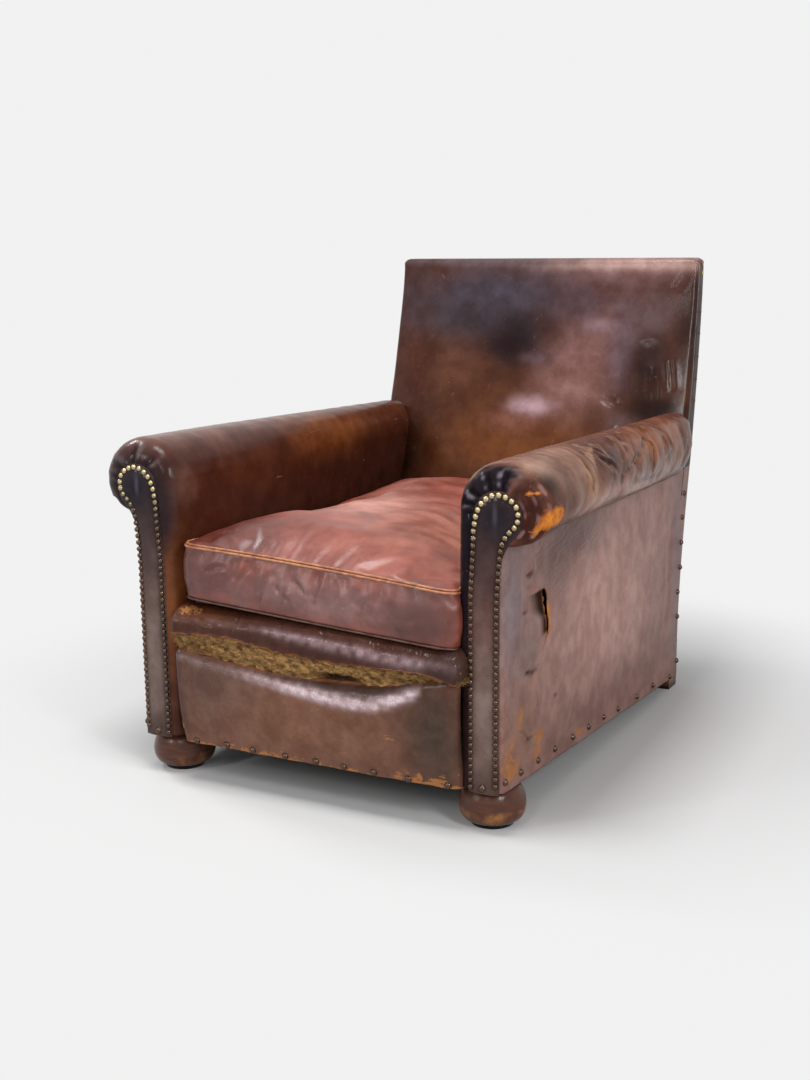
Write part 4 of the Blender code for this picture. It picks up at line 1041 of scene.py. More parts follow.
edge = (border_top(places[..., 0]) - places[..., 1]) / 0.0028
torn = 0.30 * bell(edge) * smooth(ragged, -0.5, 0.2)
tone = stain(
    points,
    "7b5646",
    [
        (-0.17, 0, 0.17, 0.09, FAR, 0.06, "6c544b", 0.85),
        (0.00, 0, 0.12, 0.13, FAR, 0.05, "86604c", 0.80),
        (0.22, 0, 0.15, 0.050, FAR, 0.09, "4a3c34", 0.95),
        (-0.235, 0, 0.15, 0.014, FAR, 0.09, "33231f", 0.8),
    ],
    seed=74,
)
gloss = bell((places[..., 1] - ridge - 0.006) / 0.016) * smooth(places[..., 0], 0.22, 0.17)
# Painted highlight along the swag's ridge.
highlight_band = bell((places[..., 1] - ridge - 0.003) / 0.0085) * (1 + 0.5 * unevenness(points, 0.016, 75))
highlight_band *= (0.12 + 0.73 * smooth(places[..., 0], -0.15, 0.05)) * smooth(places[..., 0], 0.205, 0.185)
# Painted shade on the shelf under the roll, above the swag's ridge.
recess_shade = 0.8 * smooth(places[..., 1] - ridge, 0.008, 0.015) * smooth(edge, 0.6, 1.6)
lay(tone, "3a2824", recess_shade)
lay(tone, "e6d3db", np.clip(1.15 * highlight_band, 0, 0.95))
paints = wear(tone, worn=worn, torn=torn, gloss=gloss, crackle=0.3 * gloss)
border_leather = leather("border_leather", 0.23, specks=1.2)
mesh = grid_mesh("border", points, flip=True, paints=paints)
stands_for = ["front_border_leather", "front_border_stuffing"]
border = piece("front_border", mesh, border_leather, "worn_leather", stands_for, 0.002)


def nearest_points(points, axes, places):
    """Numbers of the points nearest to places given on two of the axes."""
    flat = points.reshape(-1, 3)[:, axes]
    return [np.argmin(((flat - place) ** 2).sum(-1)) for place in places]


dark_bronze = nail_brass("dark_bronze", 2.0, 3.0)
found = nearest_points(points, (0, 2), [(x, BORDER_NAIL_HEIGHT) for x in BORDER_NAILS])
centres, ways = points.reshape(-1, 3)[found], normals(points).reshape(-1, 3)[found]
ways = ways * np.sign(-ways[:, 1:2])
piece("border_nails", domes(centres + 0.0006 * ways, ways, 0.0058, 0.0042), dark_bronze, "nail_brass")

# ------------------------------------------------------------------ front roll and its coir
# A roll of coir fibre under one strip of leather. The leather has split all along its lower edge, where its raw
# tan lip stands off the tangled coir, and in one place the coir has fallen out and left a dark hole.

ROLL_LOW, ROLL_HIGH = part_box("front_roll_leather")
ROLL_LEFT, ROLL_RIGHT = ROLL_LOW.x - 0.006, ROLL_HIGH.x + 0.029
LIP = (
    (-0.25, -0.225, -0.135, -0.09, -0.045, 0.042, 0.127, 0.208, 0.245, 0.27),
    (15, 13, 9, 15, 21, 24, 18, 10, 15, 24),
)


def roll_middle(x):
    """Height of the roll's core: it dips to the right and a little at both ends."""
    return 0.262 - 0.03 * x - 0.12 * x**2


def roll_shrink(x):
    """Size of the section near the roll's ends, which round off as quarter circles."""
    end = np.minimum(x - ROLL_LEFT, ROLL_RIGHT - x)
    return np.sqrt(np.maximum(1e-6, 1 - np.clip(1 - end / 0.017, 0, 1) ** 2))


def roll_x(columns):
    """Places along the roll, closer together where its ends round off."""
    bend = np.linspace(-1, 1, columns)
    return (ROLL_LEFT + ROLL_RIGHT) / 2 + (ROLL_RIGHT - ROLL_LEFT) / 2 * np.sin(bend * math.pi / 2)


def roll_leather(columns=260, rows=64):
    """The leather: each section goes over the roll as an ellipse and then hangs straight to its torn lip."""
    x = roll_x(columns)[:, None]
    over = np.radians(np.linspace(165, 0, rows - 16))
    bow = np.stack([0.004 - 0.038 * np.cos(over), 0.027 * np.sin(over)], -1)[None]
    drop = smooth_line(x, LIP[0], np.array(LIP[1]) / 1000, 0.014)
    drop = drop + 0.0012 * unevenness(np.concatenate([x, 0 * x, 0 * x], -1), 0.012, 81)[:, None]
    part = np.linspace(0, 1, 17)[None, 1:]
    hang = np.stack([-0.034 + 5.0 * (drop * part) ** 2 - 0.0022 * part**6, -drop * part], -1)
    section = np.concatenate([np.broadcast_to(bow, (columns,) + bow.shape[1:]), hang], 1)
    section = section * roll_shrink(x)[..., None]
    middle = roll_middle(x)
    return np.stack([x + 0 * section[..., 0], FACE_Y + section[..., 0] + 0.003, middle + section[..., 1]], -1)


base = roll_leather()
skin = normals(base)
skin *= np.sign((skin * (base - base.mean(1, keepdims=True))).sum(-1, keepdims=True))
places = np.stack([base[..., 0], np.broadcast_to(np.linspace(0, 0.10, base.shape[1]), base.shape[:2])], -1)
routes = [
    ([(-0.118, 0.040), (-0.113, 0.060), (-0.120, 0.080)], 0.0022, 0.0018),
    ([(0.120, 0.046), (0.126, 0.066), (0.121, 0.085)], 0.0022, 0.0018),
    ([(-0.200, 0.050), (-0.172, 0.066), (-0.150, 0.070)], 0.0030, 0.0012),
    ([(-0.050, 0.036), (-0.030, 0.060)], 0.0030, 0.0010),
    ([(0.030, 0.040), (0.045, 0.070)], 0.0030, 0.0010),
    ([(0.195, 0.040), (0.205, 0.075)], 0.0030, 0.0014),
]
folds, nearest_crease = creases(places, routes)
lift = folds + 0.0010 * unevenness(base, 0.06, 82) + 0.0002 * unevenness(base, 0.018, 83)
points = base + skin * (lift * roll_shrink(base[..., 0]))[..., None]
lip = np.linspace(1, 0, base.shape[1])[None] * 0.10
ragged = unevenness(points, 0.02, 84)
torn = 0.45 * bell(lip / 0.0015) * smooth(ragged, -0.9, 0.1)
worn = 0.62 * spot(points, (-0.205, FACE_Y - 0.015, 0.285), (0.030, 0.03, 0.012))
worn += 0.30 * spot(points, (-0.13, FACE_Y, 0.29), (0.06, 0.03, 0.006))
worn += 0.34 * spot(points, (0.262, FACE_Y - 0.02, 0.25), (0.012, 0.03, 0.02))
tone = stain(
    points,
    "4e2f25",
    [
        (-0.19, -0.01, 0.285, 0.06, 0.04, 0.02, "6a4028", 0.8),
        (0.24, 0, 0.25, 0.05, FAR, 0.03, "463430", 0.8),
    ],
    seed=85,
)
ABOVE = ((-0.10, -0.04, 0.03, 0.11, 0.15, 0.24), (0.017, 0.009, 0.004, 0.001, -0.001, 0.007))
above = np.interp(base[..., 0], *ABOVE)
# Painted highlight: a pale band along the roll's front.
highlight_band = bell((points[..., 2] - roll_middle(points[..., 0]) - above) / 0.0085)
highlight_band *= smooth(points[..., 1], FACE_Y - 0.024, FACE_Y - 0.030) * (1 + 0.5 * unevenness(points, 0.016, 86))
highlight_band *= 0.25 + 0.5 * smooth(points[..., 0], -0.10, 0.03) * smooth(points[..., 0], 0.23, 0.17)
lay(tone, "a88f95", np.clip(highlight_band, 0, 0.9))
paints = wear(tone, worn=worn, torn=torn, gloss=0.35 + 0 * torn, crackle=0.22 + 0 * torn)
paints["crease"] = nearest_crease
roll_hide = leather("roll_leather", 0.22, grain=0.6, specks=1.1)
mesh = weld(grid_mesh("roll", points, paints=paints))
roll = piece("front_roll_cover", mesh, roll_hide, "worn_leather", ["front_roll_leather"], 0.002)


def coir_face(columns=260, rows=40):
    """The coir's front: from inside the lip it bulges a little and slopes back to behind the border's edge."""
    x = roll_x(columns)[:, None]
    size = roll_shrink(x) ** 1.5
    drop = smooth_line(x, LIP[0], np.array(LIP[1]) / 1000, 0.014)
    high, low = roll_middle(x) - drop + 0.010, border_top(np.clip(x, -0.236, 0.25)) - 0.008
    part = np.linspace(0, 1, rows)[None]
    z = high + (low - high) * part
    a = -0.0265 + 0.0155 * part - 0.0035 * np.sin(math.pi * part)
    inner = roll_middle(x) - 0.012
    z = inner + (z - inner) * size
    a = 0.004 + (a - 0.004) * size
    return np.stack([x + 0 * z, FACE_Y + a, z], -1)


def coir_fibre():
    """Coconut fibre: ginger strands with dark gaps; tone is the brightness of each strand, and on the face it
    also holds painted shade.
    """
    fibre = Finish("coir_fibre")
    strand = fibre.noise(150, 6, 0.75, stretch=(0.35, 1, 1), distortion=1.2)
    tone = fibre.painted("tone")
    colour = fibre.mix(fibre.ramp(strand, 0.34, 0.60), "553518", "b98d52")
    colour = fibre.mix(fibre.ramp(strand, 0.60, 0.75), colour, "e4bf85")
    colour = fibre.mix(tone, "160d07", colour)
    return fibre.finish(colour, 0.85, fibre.bump(strand, 0.002))


face = coir_face()
hole = np.exp(-np.abs((face[..., 0] - 0.055) / 0.036) ** 4)
hole = hole * np.exp(-np.abs((face[..., 2] - 0.2085) / 0.0065) ** 2.5)
pits = smooth(unevenness(face, 0.014, 91), 0.15, 0.8)
tufts = 0.0022 * unevenness(face, 0.020, 92) + 0.0012 * unevenness(face, 0.008, 93) - 0.004 * pits
points = face - (0, 1, 0) * (tufts * roll_shrink(face[..., 0]) - 0.020 * hole)[..., None]
rear = points[:, ::-1][:, (0, 12, 26, 39)].copy()
rear[..., 1] = np.maximum(points[:, :1, 1] + 0.006, FACE_Y + 0.030 * roll_shrink(rear[..., 0]))
rear[:, 0] = (rear[:, 0] + points[:, -1]) / 2
loop = np.concatenate([points, rear], 1)
# Painted shade: the hole is nearly black and the pits are 40 percent darker.
bright = np.concatenate([1 - 0.97 * hole - 0.40 * pits * (1 - hole), np.full((260, 4), 0.5)], 1)
mesh = weld(grid_mesh("coir", loop, wrap=True, paints={"tone": bright}))
coconut = coir_fibre()
coir = piece("front_roll_coir", mesh, coconut, "coir", ["front_roll_stuffing"])


def loose_fibres(face, count, seed):
    """Short curled strands, three-sided and six points long, that lie on the coir and partly off it."""
    draw = np.random.default_rng(seed)
    rows, columns = face.shape[:2]
    row, column = draw.integers(8, rows - 8, count), draw.integers(3, columns - 2, count)
    start = face[row, column]
    out = np.array((0, -1.0, 0))
    way = unit(draw.normal(size=(count, 3)) * (1.0, 0.22, 0.55))
    length = draw.uniform(0.006, 0.019, count)
    part = np.linspace(-0.5, 0.5, 6)[None, :, None]
    curl = draw.normal(size=(count, 1, 3)) * (0.3, 0.16, 0.45) * (part**2 - 0.25)
    rise = draw.uniform(-0.0004, 0.0016, (count, 1, 1))
    line = start[:, None] + length[:, None, None] * (part * way[:, None] + curl) + rise * out
    thick = draw.uniform(0.00014, 0.00030, (count, 1, 1)) * (1 - 3 * part**2)
    turn = np.radians((90, 210, 330))
    side = unit(np.cross(way, (0.3, 0.2, 0.93)))
    ring = side[:, None] * np.cos(turn)[:, None] + np.cross(way, side)[:, None] * np.sin(turn)[:, None]
    points = line[:, :, None] + thick[..., None] * ring[:, None]
    return points, draw.uniform(0.45, 1.0, count)


def many_tubes(name, points, tones):
    """One mesh of many tubes, from an array (tube, place, side, 3); one face closes each end."""
    tubes, places, sides = points.shape[:3]
    index = np.arange(tubes * places * sides).reshape(tubes, places, sides)
    turned = np.roll(index, -1, 2)
    quads = np.stack([index[:, :-1], turned[:, :-1], turned[:, 1:], index[:, 1:]], -1).reshape(-1, 4)
    caps = np.concatenate([index[:, 0, ::-1], index[:, -1]])
    mesh = bpy.data.meshes.new(name)
    mesh.from_pydata(points.reshape(-1, 3).tolist(), [], quads.tolist() + caps.tolist())
    values = np.repeat(tones, places * sides).astype(np.float32)
    mesh.attributes.new("tone", "FLOAT", "POINT").data.foreach_set("value", values)
    return mesh


open_part = points[:, 6:34]
keep = hole[:, 6:34] < 0.25
fibres, tones = loose_fibres(np.where(keep[..., None], open_part, open_part + (0, 0.004, 0)), 2600, 94)
piece("coir_strands", many_tubes("strands", fibres, tones), coconut, "coir")

# ------------------------------------------------------------------ outside arm panels
# A flat hide closes the outside of each arm, tucked in under the roll and nailed along its foot and rear edge.
# The right one is torn near the front, scuffed to orange at the corners and crazed under the roll.

HEM = 0.0165  # height of the lower edge of the hides at the rear
PANEL_FOOT = np.polyfit((0.0, 0.3, 0.6, 0.866), (0.0665, 0.0525, 0.0305, HEM), 2)
TEAR = (0.228, 0.251, 0.266, 0.272, 0.279, 0.288, 0.297, 0.309, 0.319, 0.328, 0.336, 0.341)
TEAR_BACK = (0.120, 0.143, 0.158, 0.1606, 0.1598, 0.1585, 0.1552, 0.1524, 0.1504, 0.1486, 0.1444, 0.143)
TEAR_HALF = (0.0, 0.0004, 0.0012, 0.0026, 0.0042, 0.0040, 0.0036, 0.0050, 0.0068, 0.0080, 0.0066, 0.0)
TEAR_SUNK = (0.0, 0.0006, 0.0022, 0.0045, 0.0066, 0.0055, 0.0042, 0.0052, 0.0075, 0.0085, 0.0078, 0.002)
SIDE_NAILS = (
    (0.009, 0.082), (0.062, 0.079), (0.127, 0.077), (0.197, 0.073), (0.268, 0.069), (0.335, 0.064),
    (0.411, 0.057), (0.483, 0.051), (0.578, 0.046), (0.670, 0.039), (0.775, 0.028), (0.812, 0.049),
    (0.820, 0.086), (0.809, 0.137), (0.811, 0.187), (0.818, 0.232), (0.824, 0.279), (0.826, 0.327),
    (0.837, 0.371),
)


def panel_half(back, z, part, sides):
    """Grid of half a panel as (back, z), between its front and rear lines, with x at the panel's plane.

    back is a pair of lines (front, rear) over the heights z; the plane turns in at the front and rear edges as
    quarter rounds.
    """
    a = back[0] + (back[1] - back[0]) * part
    x = np.full(a.shape, PANEL_X)
    for edge, reach, deep, live in sides:
        away = np.abs(a - edge)
        x -= live * deep * (1 - np.sqrt(1 - np.clip(1 - away / reach, 0, 0.999) ** 2))
    return np.stack([x, FACE_Y + a, z + 0 * a], -1)


upper = np.linspace(0.0, 0.87, 60)
last_angle = np.array([arm_section(np.array([1.0]), max(0.035, b))[0, 1] for b in upper])
PANEL_TOP = (upper, last_angle + 0.004)


def panel_grid(torn, rows):
    """Both halves of a panel, front and rear of the line of the tear; they meet where it isn't open."""
    share = np.linspace(0, 1, rows)[:, None]
    z = np.interp(share, (0, 0.33, 0.80, 1), (HEM, 0.215, 0.350, 0.425))
    line = smooth_line(z, TEAR, TEAR_BACK, 0.003)
    gap = np.interp(z, TEAR, TEAR_HALF, 0, 0) * torn
    chips = np.concatenate([0 * z, 0 * z, z], 1)
    chips = unevenness(chips, 0.012, 101) + 0.9 * unevenness(chips, 0.0055, 108)
    chips = chips[:, None] * smooth(gap, 0.0, 0.002)
    front, rear = -0.0006 + 0 * z, np.polyval(REAR_LINE, z) - 0.0022
    ahead = np.linspace(0, 1, 70 if torn else 30)[None] ** 0.75
    behind = np.linspace(0, 1, 150 if torn else 60)[None] ** 1.25
    first = panel_half((front, line - gap - 0.0024 * chips), z, ahead, [(front, 0.006, 0.0058, 1)])
    second = panel_half((line + gap + 0.0022 * chips[::-1], rear), z, behind, [(rear, 0.007, 0.006, 1)])
    return first, second, line, gap


def fitted(points):
    """Draws the rows of a panel in between its sloping foot and the underside of the roll."""
    back = points[..., 1] - FACE_Y
    foot, top = np.polyval(PANEL_FOOT, back), np.interp(back, PANEL_TOP[0], PANEL_TOP[1])
    z = points[..., 2]
    low, high = smooth(z, 0.16, HEM) * (foot - HEM), smooth(z, 0.35, 0.425) * (top - 0.425)
    return points + (0, 0, 1) * (low + high)[..., None]


# Cracks and small flaps of the right panel, as (distance back, height), with width and depth.
SIDE_CREASES = [
    ([(0.100, 0.396), (0.104, 0.380), (0.090, 0.371), (0.074, 0.369)], 0.0030, 0.0024),
    ([(0.052, 0.146), (0.072, 0.136), (0.090, 0.121), (0.113, 0.119)], 0.0022, 0.0020),
    (
        [(0.004, 0.280), (0.009, 0.258), (0.004, 0.240), (0.011, 0.222), (0.006, 0.200), (0.012, 0.176)],
        0.0025,
        0.0020,
    ),
    ([(0.066, 0.357), (0.100, 0.347), (0.140, 0.340)], 0.0028, 0.0018),
    ([(0.116, 0.229), (0.104, 0.212), (0.092, 0.200)], 0.0040, 0.0012),
    ([(0.72, 0.10), (0.745, 0.20), (0.760, 0.36)], 0.0100, 0.0016),
    ([(0.054, 0.40), (0.056, 0.33), (0.054, 0.25)], 0.0090, -0.0016),
]
WRINKLE_WAY = (math.sin(math.radians(24)), -math.cos(math.radians(24)))


def crazed(points):
    """Fine slanting wrinkles in one field under the roll: a crooked wave across their common direction."""
    place = points[..., (1, 2)] - (FACE_Y, 0)
    away = place @ WRINKLE_WAY + 0.0052 * unevenness(points, 0.040, 102)
    away = away + 0.0018 * unevenness(points, 0.012, 103)
    field = spot(place, (0.245, 0.385), (0.120, 0.036))
    field += 0.6 * spot(place, (0.205, 0.335), (0.035, 0.040))
    wave = np.sin(2 * math.pi * away / 0.0080)
    return 0.00085 * np.clip(field, 0, 1) * (np.abs(wave) ** 0.5 * np.sign(wave) - 0.5)


def spots(points, places):
    """Sum of soft spots on a side panel, each (distance back, height, reach back, reach up, strength)."""
    place = points[..., (1, 2)] - (FACE_Y, 0)
    total = np.zeros(points.shape[:2])
    for back, up, wide, high, strength in places:
        total += strength * spot(place, (back, up), (wide, high))
    return total


SCUFFS = (
    (0.040, 0.222, 0.020, 0.012, 0.45), (0.060, 0.182, 0.016, 0.034, 0.62), (0.098, 0.152, 0.03, 0.008, 0.5),
    (0.130, 0.118, 0.026, 0.016, 0.62), (0.125, 0.088, 0.04, 0.016, 0.40), (0.020, 0.115, 0.03, 0.03, 0.62),
    (0.030, 0.090, 0.04, 0.016, 0.50), (0.659, 0.085, 0.010, 0.006, 0.75), (0.296, 0.070, 0.020, 0.006, 0.6),
    (0.62, 0.10, 0.10, 0.03, 0.22), (0.100, 0.345, 0.035, 0.003, 0.60), (0.77, 0.06, 0.06, 0.02, 0.2),
    (0.45, 0.068, 0.35, 0.008, 0.28),
)
PITS = (
    (0.084, 0.226, 0.010, 0.004, 1.0), (0.104, 0.222, 0.013, 0.004, 1.0), (0.191, 0.161, 0.006, 0.003, 1.0),
    (0.074, 0.318, 0.008, 0.003, 0.8), (0.093, 0.371, 0.012, 0.004, 0.8), (0.092, 0.121, 0.012, 0.003, 0.8),
)

side_leather = leather("side_leather", 0.42, grain=1.1, soft=0.16)
side_hides = {
    "left": side_leather,
    "right": leather("torn_side_leather", 0.42, grain=1.1, soft=0.16, hollow=True),
}
for side, sign in SIDES:
    first, second, line, gap = panel_grid(*((1.0, 200) if side == "right" else (0.0, 80)))
    halves = []
    for half, points in enumerate((first, second)):
        points = fitted(points)
        from_tear = np.abs(points[..., 1] - FACE_Y - line)
        open_here = smooth(gap, 0.0, 0.0012)
        dome = 0.0030 * np.sin(math.pi * np.clip((points[..., 1] - FACE_Y) / 0.86, 0, 1)) ** 0.7
        dome *= np.sin(math.pi * np.clip((points[..., 2] - 0.03) / 0.39, 0, 1)) ** 0.7
        lift = dome + 0.0012 * unevenness(points, 0.14, 104) + 0.0003 * unevenness(points, 0.03, 105)
        lift *= smooth(np.minimum(points[..., 1] - FACE_Y, 0.82 - points[..., 1] + FACE_Y), 0.0, 0.03)
        ground = "957168" if side == "right" else "4f3a33"
        places = [
            (PANEL_X, 0.43, 0.27, 0.10, 0.26, 0.13, "c49b91", 0.9),
            (PANEL_X, 0.62, 0.34, 0.10, 0.14, 0.08, "ab857b", 0.7),
            (PANEL_X, 0.03, 0.34, 0.10, 0.045, 0.11, "85767a", 0.85),
            (PANEL_X, 0.25, 0.40, 0.10, 0.15, 0.045, "6a5856", 0.85),
            (PANEL_X, 0.20, 0.35, 0.10, 0.05, 0.04, "705a55", 0.6),
            (PANEL_X, 0.80, 0.25, 0.10, 0.040, 0.22, "80696b", 0.75),
            (PANEL_X, 0.35, 0.085, 0.10, 0.35, 0.030, "856359", 0.7),
            (PANEL_X, 0.06, 0.14, 0.10, 0.06, 0.06, "86604f", 0.7),
            (PANEL_X, 0.09, 0.26, 0.10, 0.04, 0.03, "7d6a64", 0.7),
        ]
        tone = stain(points, ground, places if side == "right" else [], seed=106)
        if side == "right":
            place = points[..., (1, 2)] - (FACE_Y, 0)
            folds, near = creases(place, SIDE_CREASES)
            pitted = np.clip(spots(points, PITS), 0, 1)
            lift = lift + folds + crazed(points) - 0.0012 * pitted
            sunk = np.interp(points[..., 2], TEAR, TEAR_SUNK, 0, 0)
            lip = bell(from_tear / (0.024 if half == 0 else 0.006))
            lift += -0.12 * sunk * lip if half == 0 else 0.0016 * lip * open_here
            rag = unevenness(points, 0.009, 107)
            raw = bell((from_tear - gap) / (0.0034 if half == 0 else 0.0072)) * open_here
            height = points[..., 2]
            bare = smooth(height, 0.320, 0.306) if half else bell((height - 0.308) / 0.012)
            torn = raw * smooth(rag, -0.8, -0.1) * (0.15 + 0.85 * bare)
            worn = spots(points, SCUFFS)
            wide = smooth(height, 0.292, 0.318)
            shade_in = smooth(from_tear, 0.036 + 0.034 * wide, 0.010 + 0.016 * wide)
            shade_in *= open_here * (half == 0) * smooth(sunk, 0.001, 0.005)
            lay(tone, "2a1a12", 0.95 * shade_in)
            # The pits are small holes: pressed in, with their shade painted by darkening them 70 percent.
            tone[..., :3] *= (1 - 0.7 * pitted)[..., None]
            near = near + 0.03 * smooth(place[..., 0], 0.5, 0.6)
            dull = np.maximum(shade_in, pitted) * (1 - torn)
            paints = wear(tone, torn=torn, worn=worn, crease=near, dull=dull)
        else:
            paints = wear(tone)
        points = points + (1, 0, 0) * lift[..., None]
        halves.append((points * (sign, 1, 1), paints))
    meshes = [grid_mesh("panel", points, flip=sign < 0, paints=paints) for points, paints in halves]
    mesh = joined(f"outside_panel_{side}", meshes, 2e-5)
    stands_for = [f"outside_arm_leather_{side}"]
    piece(f"outside_panel_{side}", mesh, side_hides[side], "worn_leather", stands_for, 0.0022)
    every = np.concatenate([points.reshape(-1, 3) for points, _ in halves])
    found = nearest_points(every, (1, 2), [(FACE_Y + back, z) for back, z in SIDE_NAILS])
    centres = every[found] + (sign * 0.0004, 0, 0)
    nails = domes(centres, (sign, 0, 0), 0.0054, 0.0042)
    piece(f"outside_panel_nails_{side}", nails, dark_bronze, "nail_brass")

# ------------------------------------------------------------------ facings and their nails
# A shaped panel covers each scroll, gathered inside the arch, with close domed brass nails all along both edges.
# Hands have kept the nails of the arch bright; those lower down are dark.


def scroll_sides(count):
    """The facing's inner and outer edges from its foot to the top of the arch, as (x, z).

    The inner edge rises straight and goes a quarter turn round the head. The outer one rises straight, swings
    out through the waist and goes round the rest of the head. Each is spread evenly by length.
    """
    inner_x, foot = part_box("facing_right")[0].x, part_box("facing_right")[0].z
    quarter = np.radians(np.linspace(180, 90, 20))
    inner = [(inner_x, foot), (inner_x, 0.35)]
    inner += [(HEAD_X + HEAD_RADIUS * math.cos(a), HEAD_Z + HEAD_RADIUS * math.sin(a)) for a in quarter]
    rest = np.radians(np.linspace(-45, 90, 30))
    head = [(HEAD_X + HEAD_RADIUS * math.cos(a), HEAD_Z + HEAD_RADIUS * math.sin(a)) for a in rest]
    outer_x = 0.3137
    drop = head[0][0] - outer_x
    part = np.linspace(0, 1, 12)[:-1, None]
    start, bend = np.array((outer_x, head[0][1] - 2.4 * drop)), np.array((outer_x, head[0][1] - drop))
    waist = (1 - part) ** 2 * start + 2 * part * (1 - part) * bend + part**2 * np.array(head[0])
    outer = np.concatenate([[(outer_x, foot)], waist, head])
    return [evenly(np.array(edge), count) for edge in (inner, outer)]


def evenly(route, count):
    """Points spread evenly by length along a route."""
    route = np.asarray(route, float)
    run = np.concatenate([[0], np.cumsum(np.linalg.norm(np.diff(route, axis=0), axis=1))])
    wanted = np.linspace(0, run[-1], count)
    return np.stack([np.interp(wanted, run, route[:, axis]) for axis in range(route.shape[1])], -1)


edge_brass = nail_brass("facing_brass", 0.425, 0.475)
NAIL_LINE = (
    (0.269, 0.072), (0.270, 0.353), (0.274, 0.422), (0.275, 0.451), (0.279, 0.474), (0.289, 0.492),
    (0.302, 0.500), (0.316, 0.502), (0.330, 0.497), (0.340, 0.486), (0.343, 0.472), (0.339, 0.460),
    (0.330, 0.452), (0.322, 0.442), (0.316, 0.428), (0.312, 0.390), (0.309, 0.345), (0.308, 0.078),
)
inner_edge, outer_edge = scroll_sides(220)
across = np.linspace(0, 1, 41)[None, :, None]
flat = inner_edge[:, None] * (1 - across) + outer_edge[:, None] * across
from_edge = np.minimum(
    distance_to(flat, evenly(inner_edge, 60))[0],
    distance_to(flat, evenly(outer_edge, 80))[0],
)
around = np.arctan2(flat[..., 1] - HEAD_Z, flat[..., 0] - HEAD_X)
radius_out = np.hypot(flat[..., 0] - HEAD_X, flat[..., 1] - HEAD_Z)
in_arch = smooth(flat[..., 1], 0.440, 0.462)
pucker = 0.00022 * np.sin(around * 13 + 2 * unevenness(np.dstack([flat, 0 * around]), 0.05, 41))
pucker *= in_arch * smooth(radius_out, 0.006, 0.016) * smooth(radius_out, 0.036, 0.030)
plump = 0.0026 * smooth(from_edge, 0.002, 0.016)
facing_lift = 0.0022 + plump + pucker
facing_lift *= smooth(from_edge, -0.0012, 0.003)
facing_leather = leather("facing_leather", 0.23, grain=0.7)
for side, sign in SIDES:
    line = evenly(NAIL_LINE, 87)
    y = FACE_Y - facing_lift
    points = np.stack([flat[..., 0], y, flat[..., 1]], -1)
    tone = stain(
        points,
        "6a4a40" if side == "right" else "63504a",
        [
            (0.290, 0, 0.40, 0.05, 0.05, 0.07, "3d2f31", 0.8),
            (HEAD_X, 0, HEAD_Z, 0.06, 0.05, 0.050, "1e1c26", 0.97),
            # painted sheen: a narrow blue-grey streak inside the arch
            (0.308, 0, 0.475, 0.004, 0.05, 0.016, "5a5a68", 0.6),
            (0.290, 0, 0.18, 0.025, 0.05, 0.14, "84736d", 0.85),
            (0.290, 0, 0.07, 0.05, 0.05, 0.03, "3c2a26", 0.7),
        ],
        seed=51,
    )
    near_nail = distance_to(flat, line)[0]
    # Painted shadow round each nail head: the hide darkens near the nails.
    tone[..., :3] *= (1 - 0.55 * bell(near_nail / 0.006))[..., None]
    paints = wear(tone, gloss=0.6 * in_arch)
    mesh = weld(grid_mesh(f"facing_{side}", points * (sign, 1, 1), flip=sign < 0, paints=paints))
    piece(f"arm_facing_{side}", mesh, facing_leather, "worn_leather", [f"facing_{side}"])
    centres = [(sign * x, FACE_Y - 0.0030, z) for x, z in line]
    nails = domes(centres, (0, -1, 0), 0.0043, 0.0030)
    piece(f"facing_nails_{side}", nails, edge_brass, "nail_brass")
    foot_nail = domes([(sign * 0.2885, FACE_Y - 0.0046, 0.0725)], (0, -1, 0), 0.0058, 0.0042)
    piece(f"facing_foot_nail_{side}", foot_nail, dark_bronze, "nail_brass")

# ------------------------------------------------------------------ outside back and bottom cloth
# A plain hide closes the back, its edges turned in and nailed. Black lining cloth, tacked under the rails, hangs
# in a slight belly between them.

across, deep_across = turned_in(60, 0.008)
along, deep_along = turned_in(80, 0.006)
z = (HEM + (BACK_TOP - 0.012 - HEM) * along)[:, None]
x = (2 * across - 1) * (back_half(z) - 0.0016)
a = np.polyval(REAR_LINE, z) + 0.0018 - 0.0036 * deep_across - 0.0036 * deep_along[:, None]
points = np.stack([x, FACE_Y + a + 0 * x, z + 0 * x], -1)
points[..., 1] += 0.0010 * (unevenness(points, 0.16, 121) + 1) * (1 - (2 * across - 1) ** 6)
tone = stain(
    points,
    "4a352e",
    [
        (0.05, 0.88, 0.45, 0.22, FAR, 0.22, "5c443b", 0.8),
        (0.0, 0.83, 0.06, 0.40, FAR, 0.06, "3a2925", 0.8),
    ],
    seed=122,
)
worn = 0.45 * bell((points[..., 2] - HEM) / 0.012) + 0.1 * unevenness(points, 0.03, 123)
paints = wear(tone, worn=worn)
mesh = grid_mesh("outside_back", points, flip=True, paints=paints)
piece("outside_back_panel", mesh, side_leather, "worn_leather", ["outside_back_leather"], 0.002)
edge_z = np.linspace(0.045, 0.765, 13)
foot_x = np.linspace(-0.26, 0.26, 9)
spots_at = [(sign * (back_half(h) - 0.012), h) for sign in (-1, 1) for h in edge_z]
spots_at += [(x, 0.030) for x in foot_x] + [(x * 1.08, 0.778) for x in foot_x]
centres = points.reshape(-1, 3)[nearest_points(points, (0, 2), spots_at)]
piece("outside_back_nails", domes(centres, (0, 1, 0), 0.0046, 0.0036), dark_bronze, "nail_brass")

points, _ = slab_top("bottom_cloth")
sag = 0.006 * np.sin(np.linspace(0, math.pi, 90))[:, None] * np.sin(np.linspace(0, math.pi, 60))[None]
points[..., 2] -= sag + 0.0008 * unevenness(points, 0.10, 124)
cloth = grid_mesh("bottom_lining", points)
bottom = piece("bottom_lining", cloth, black_lining, "lining_cloth", ["bottom_cloth"], 0.0008)

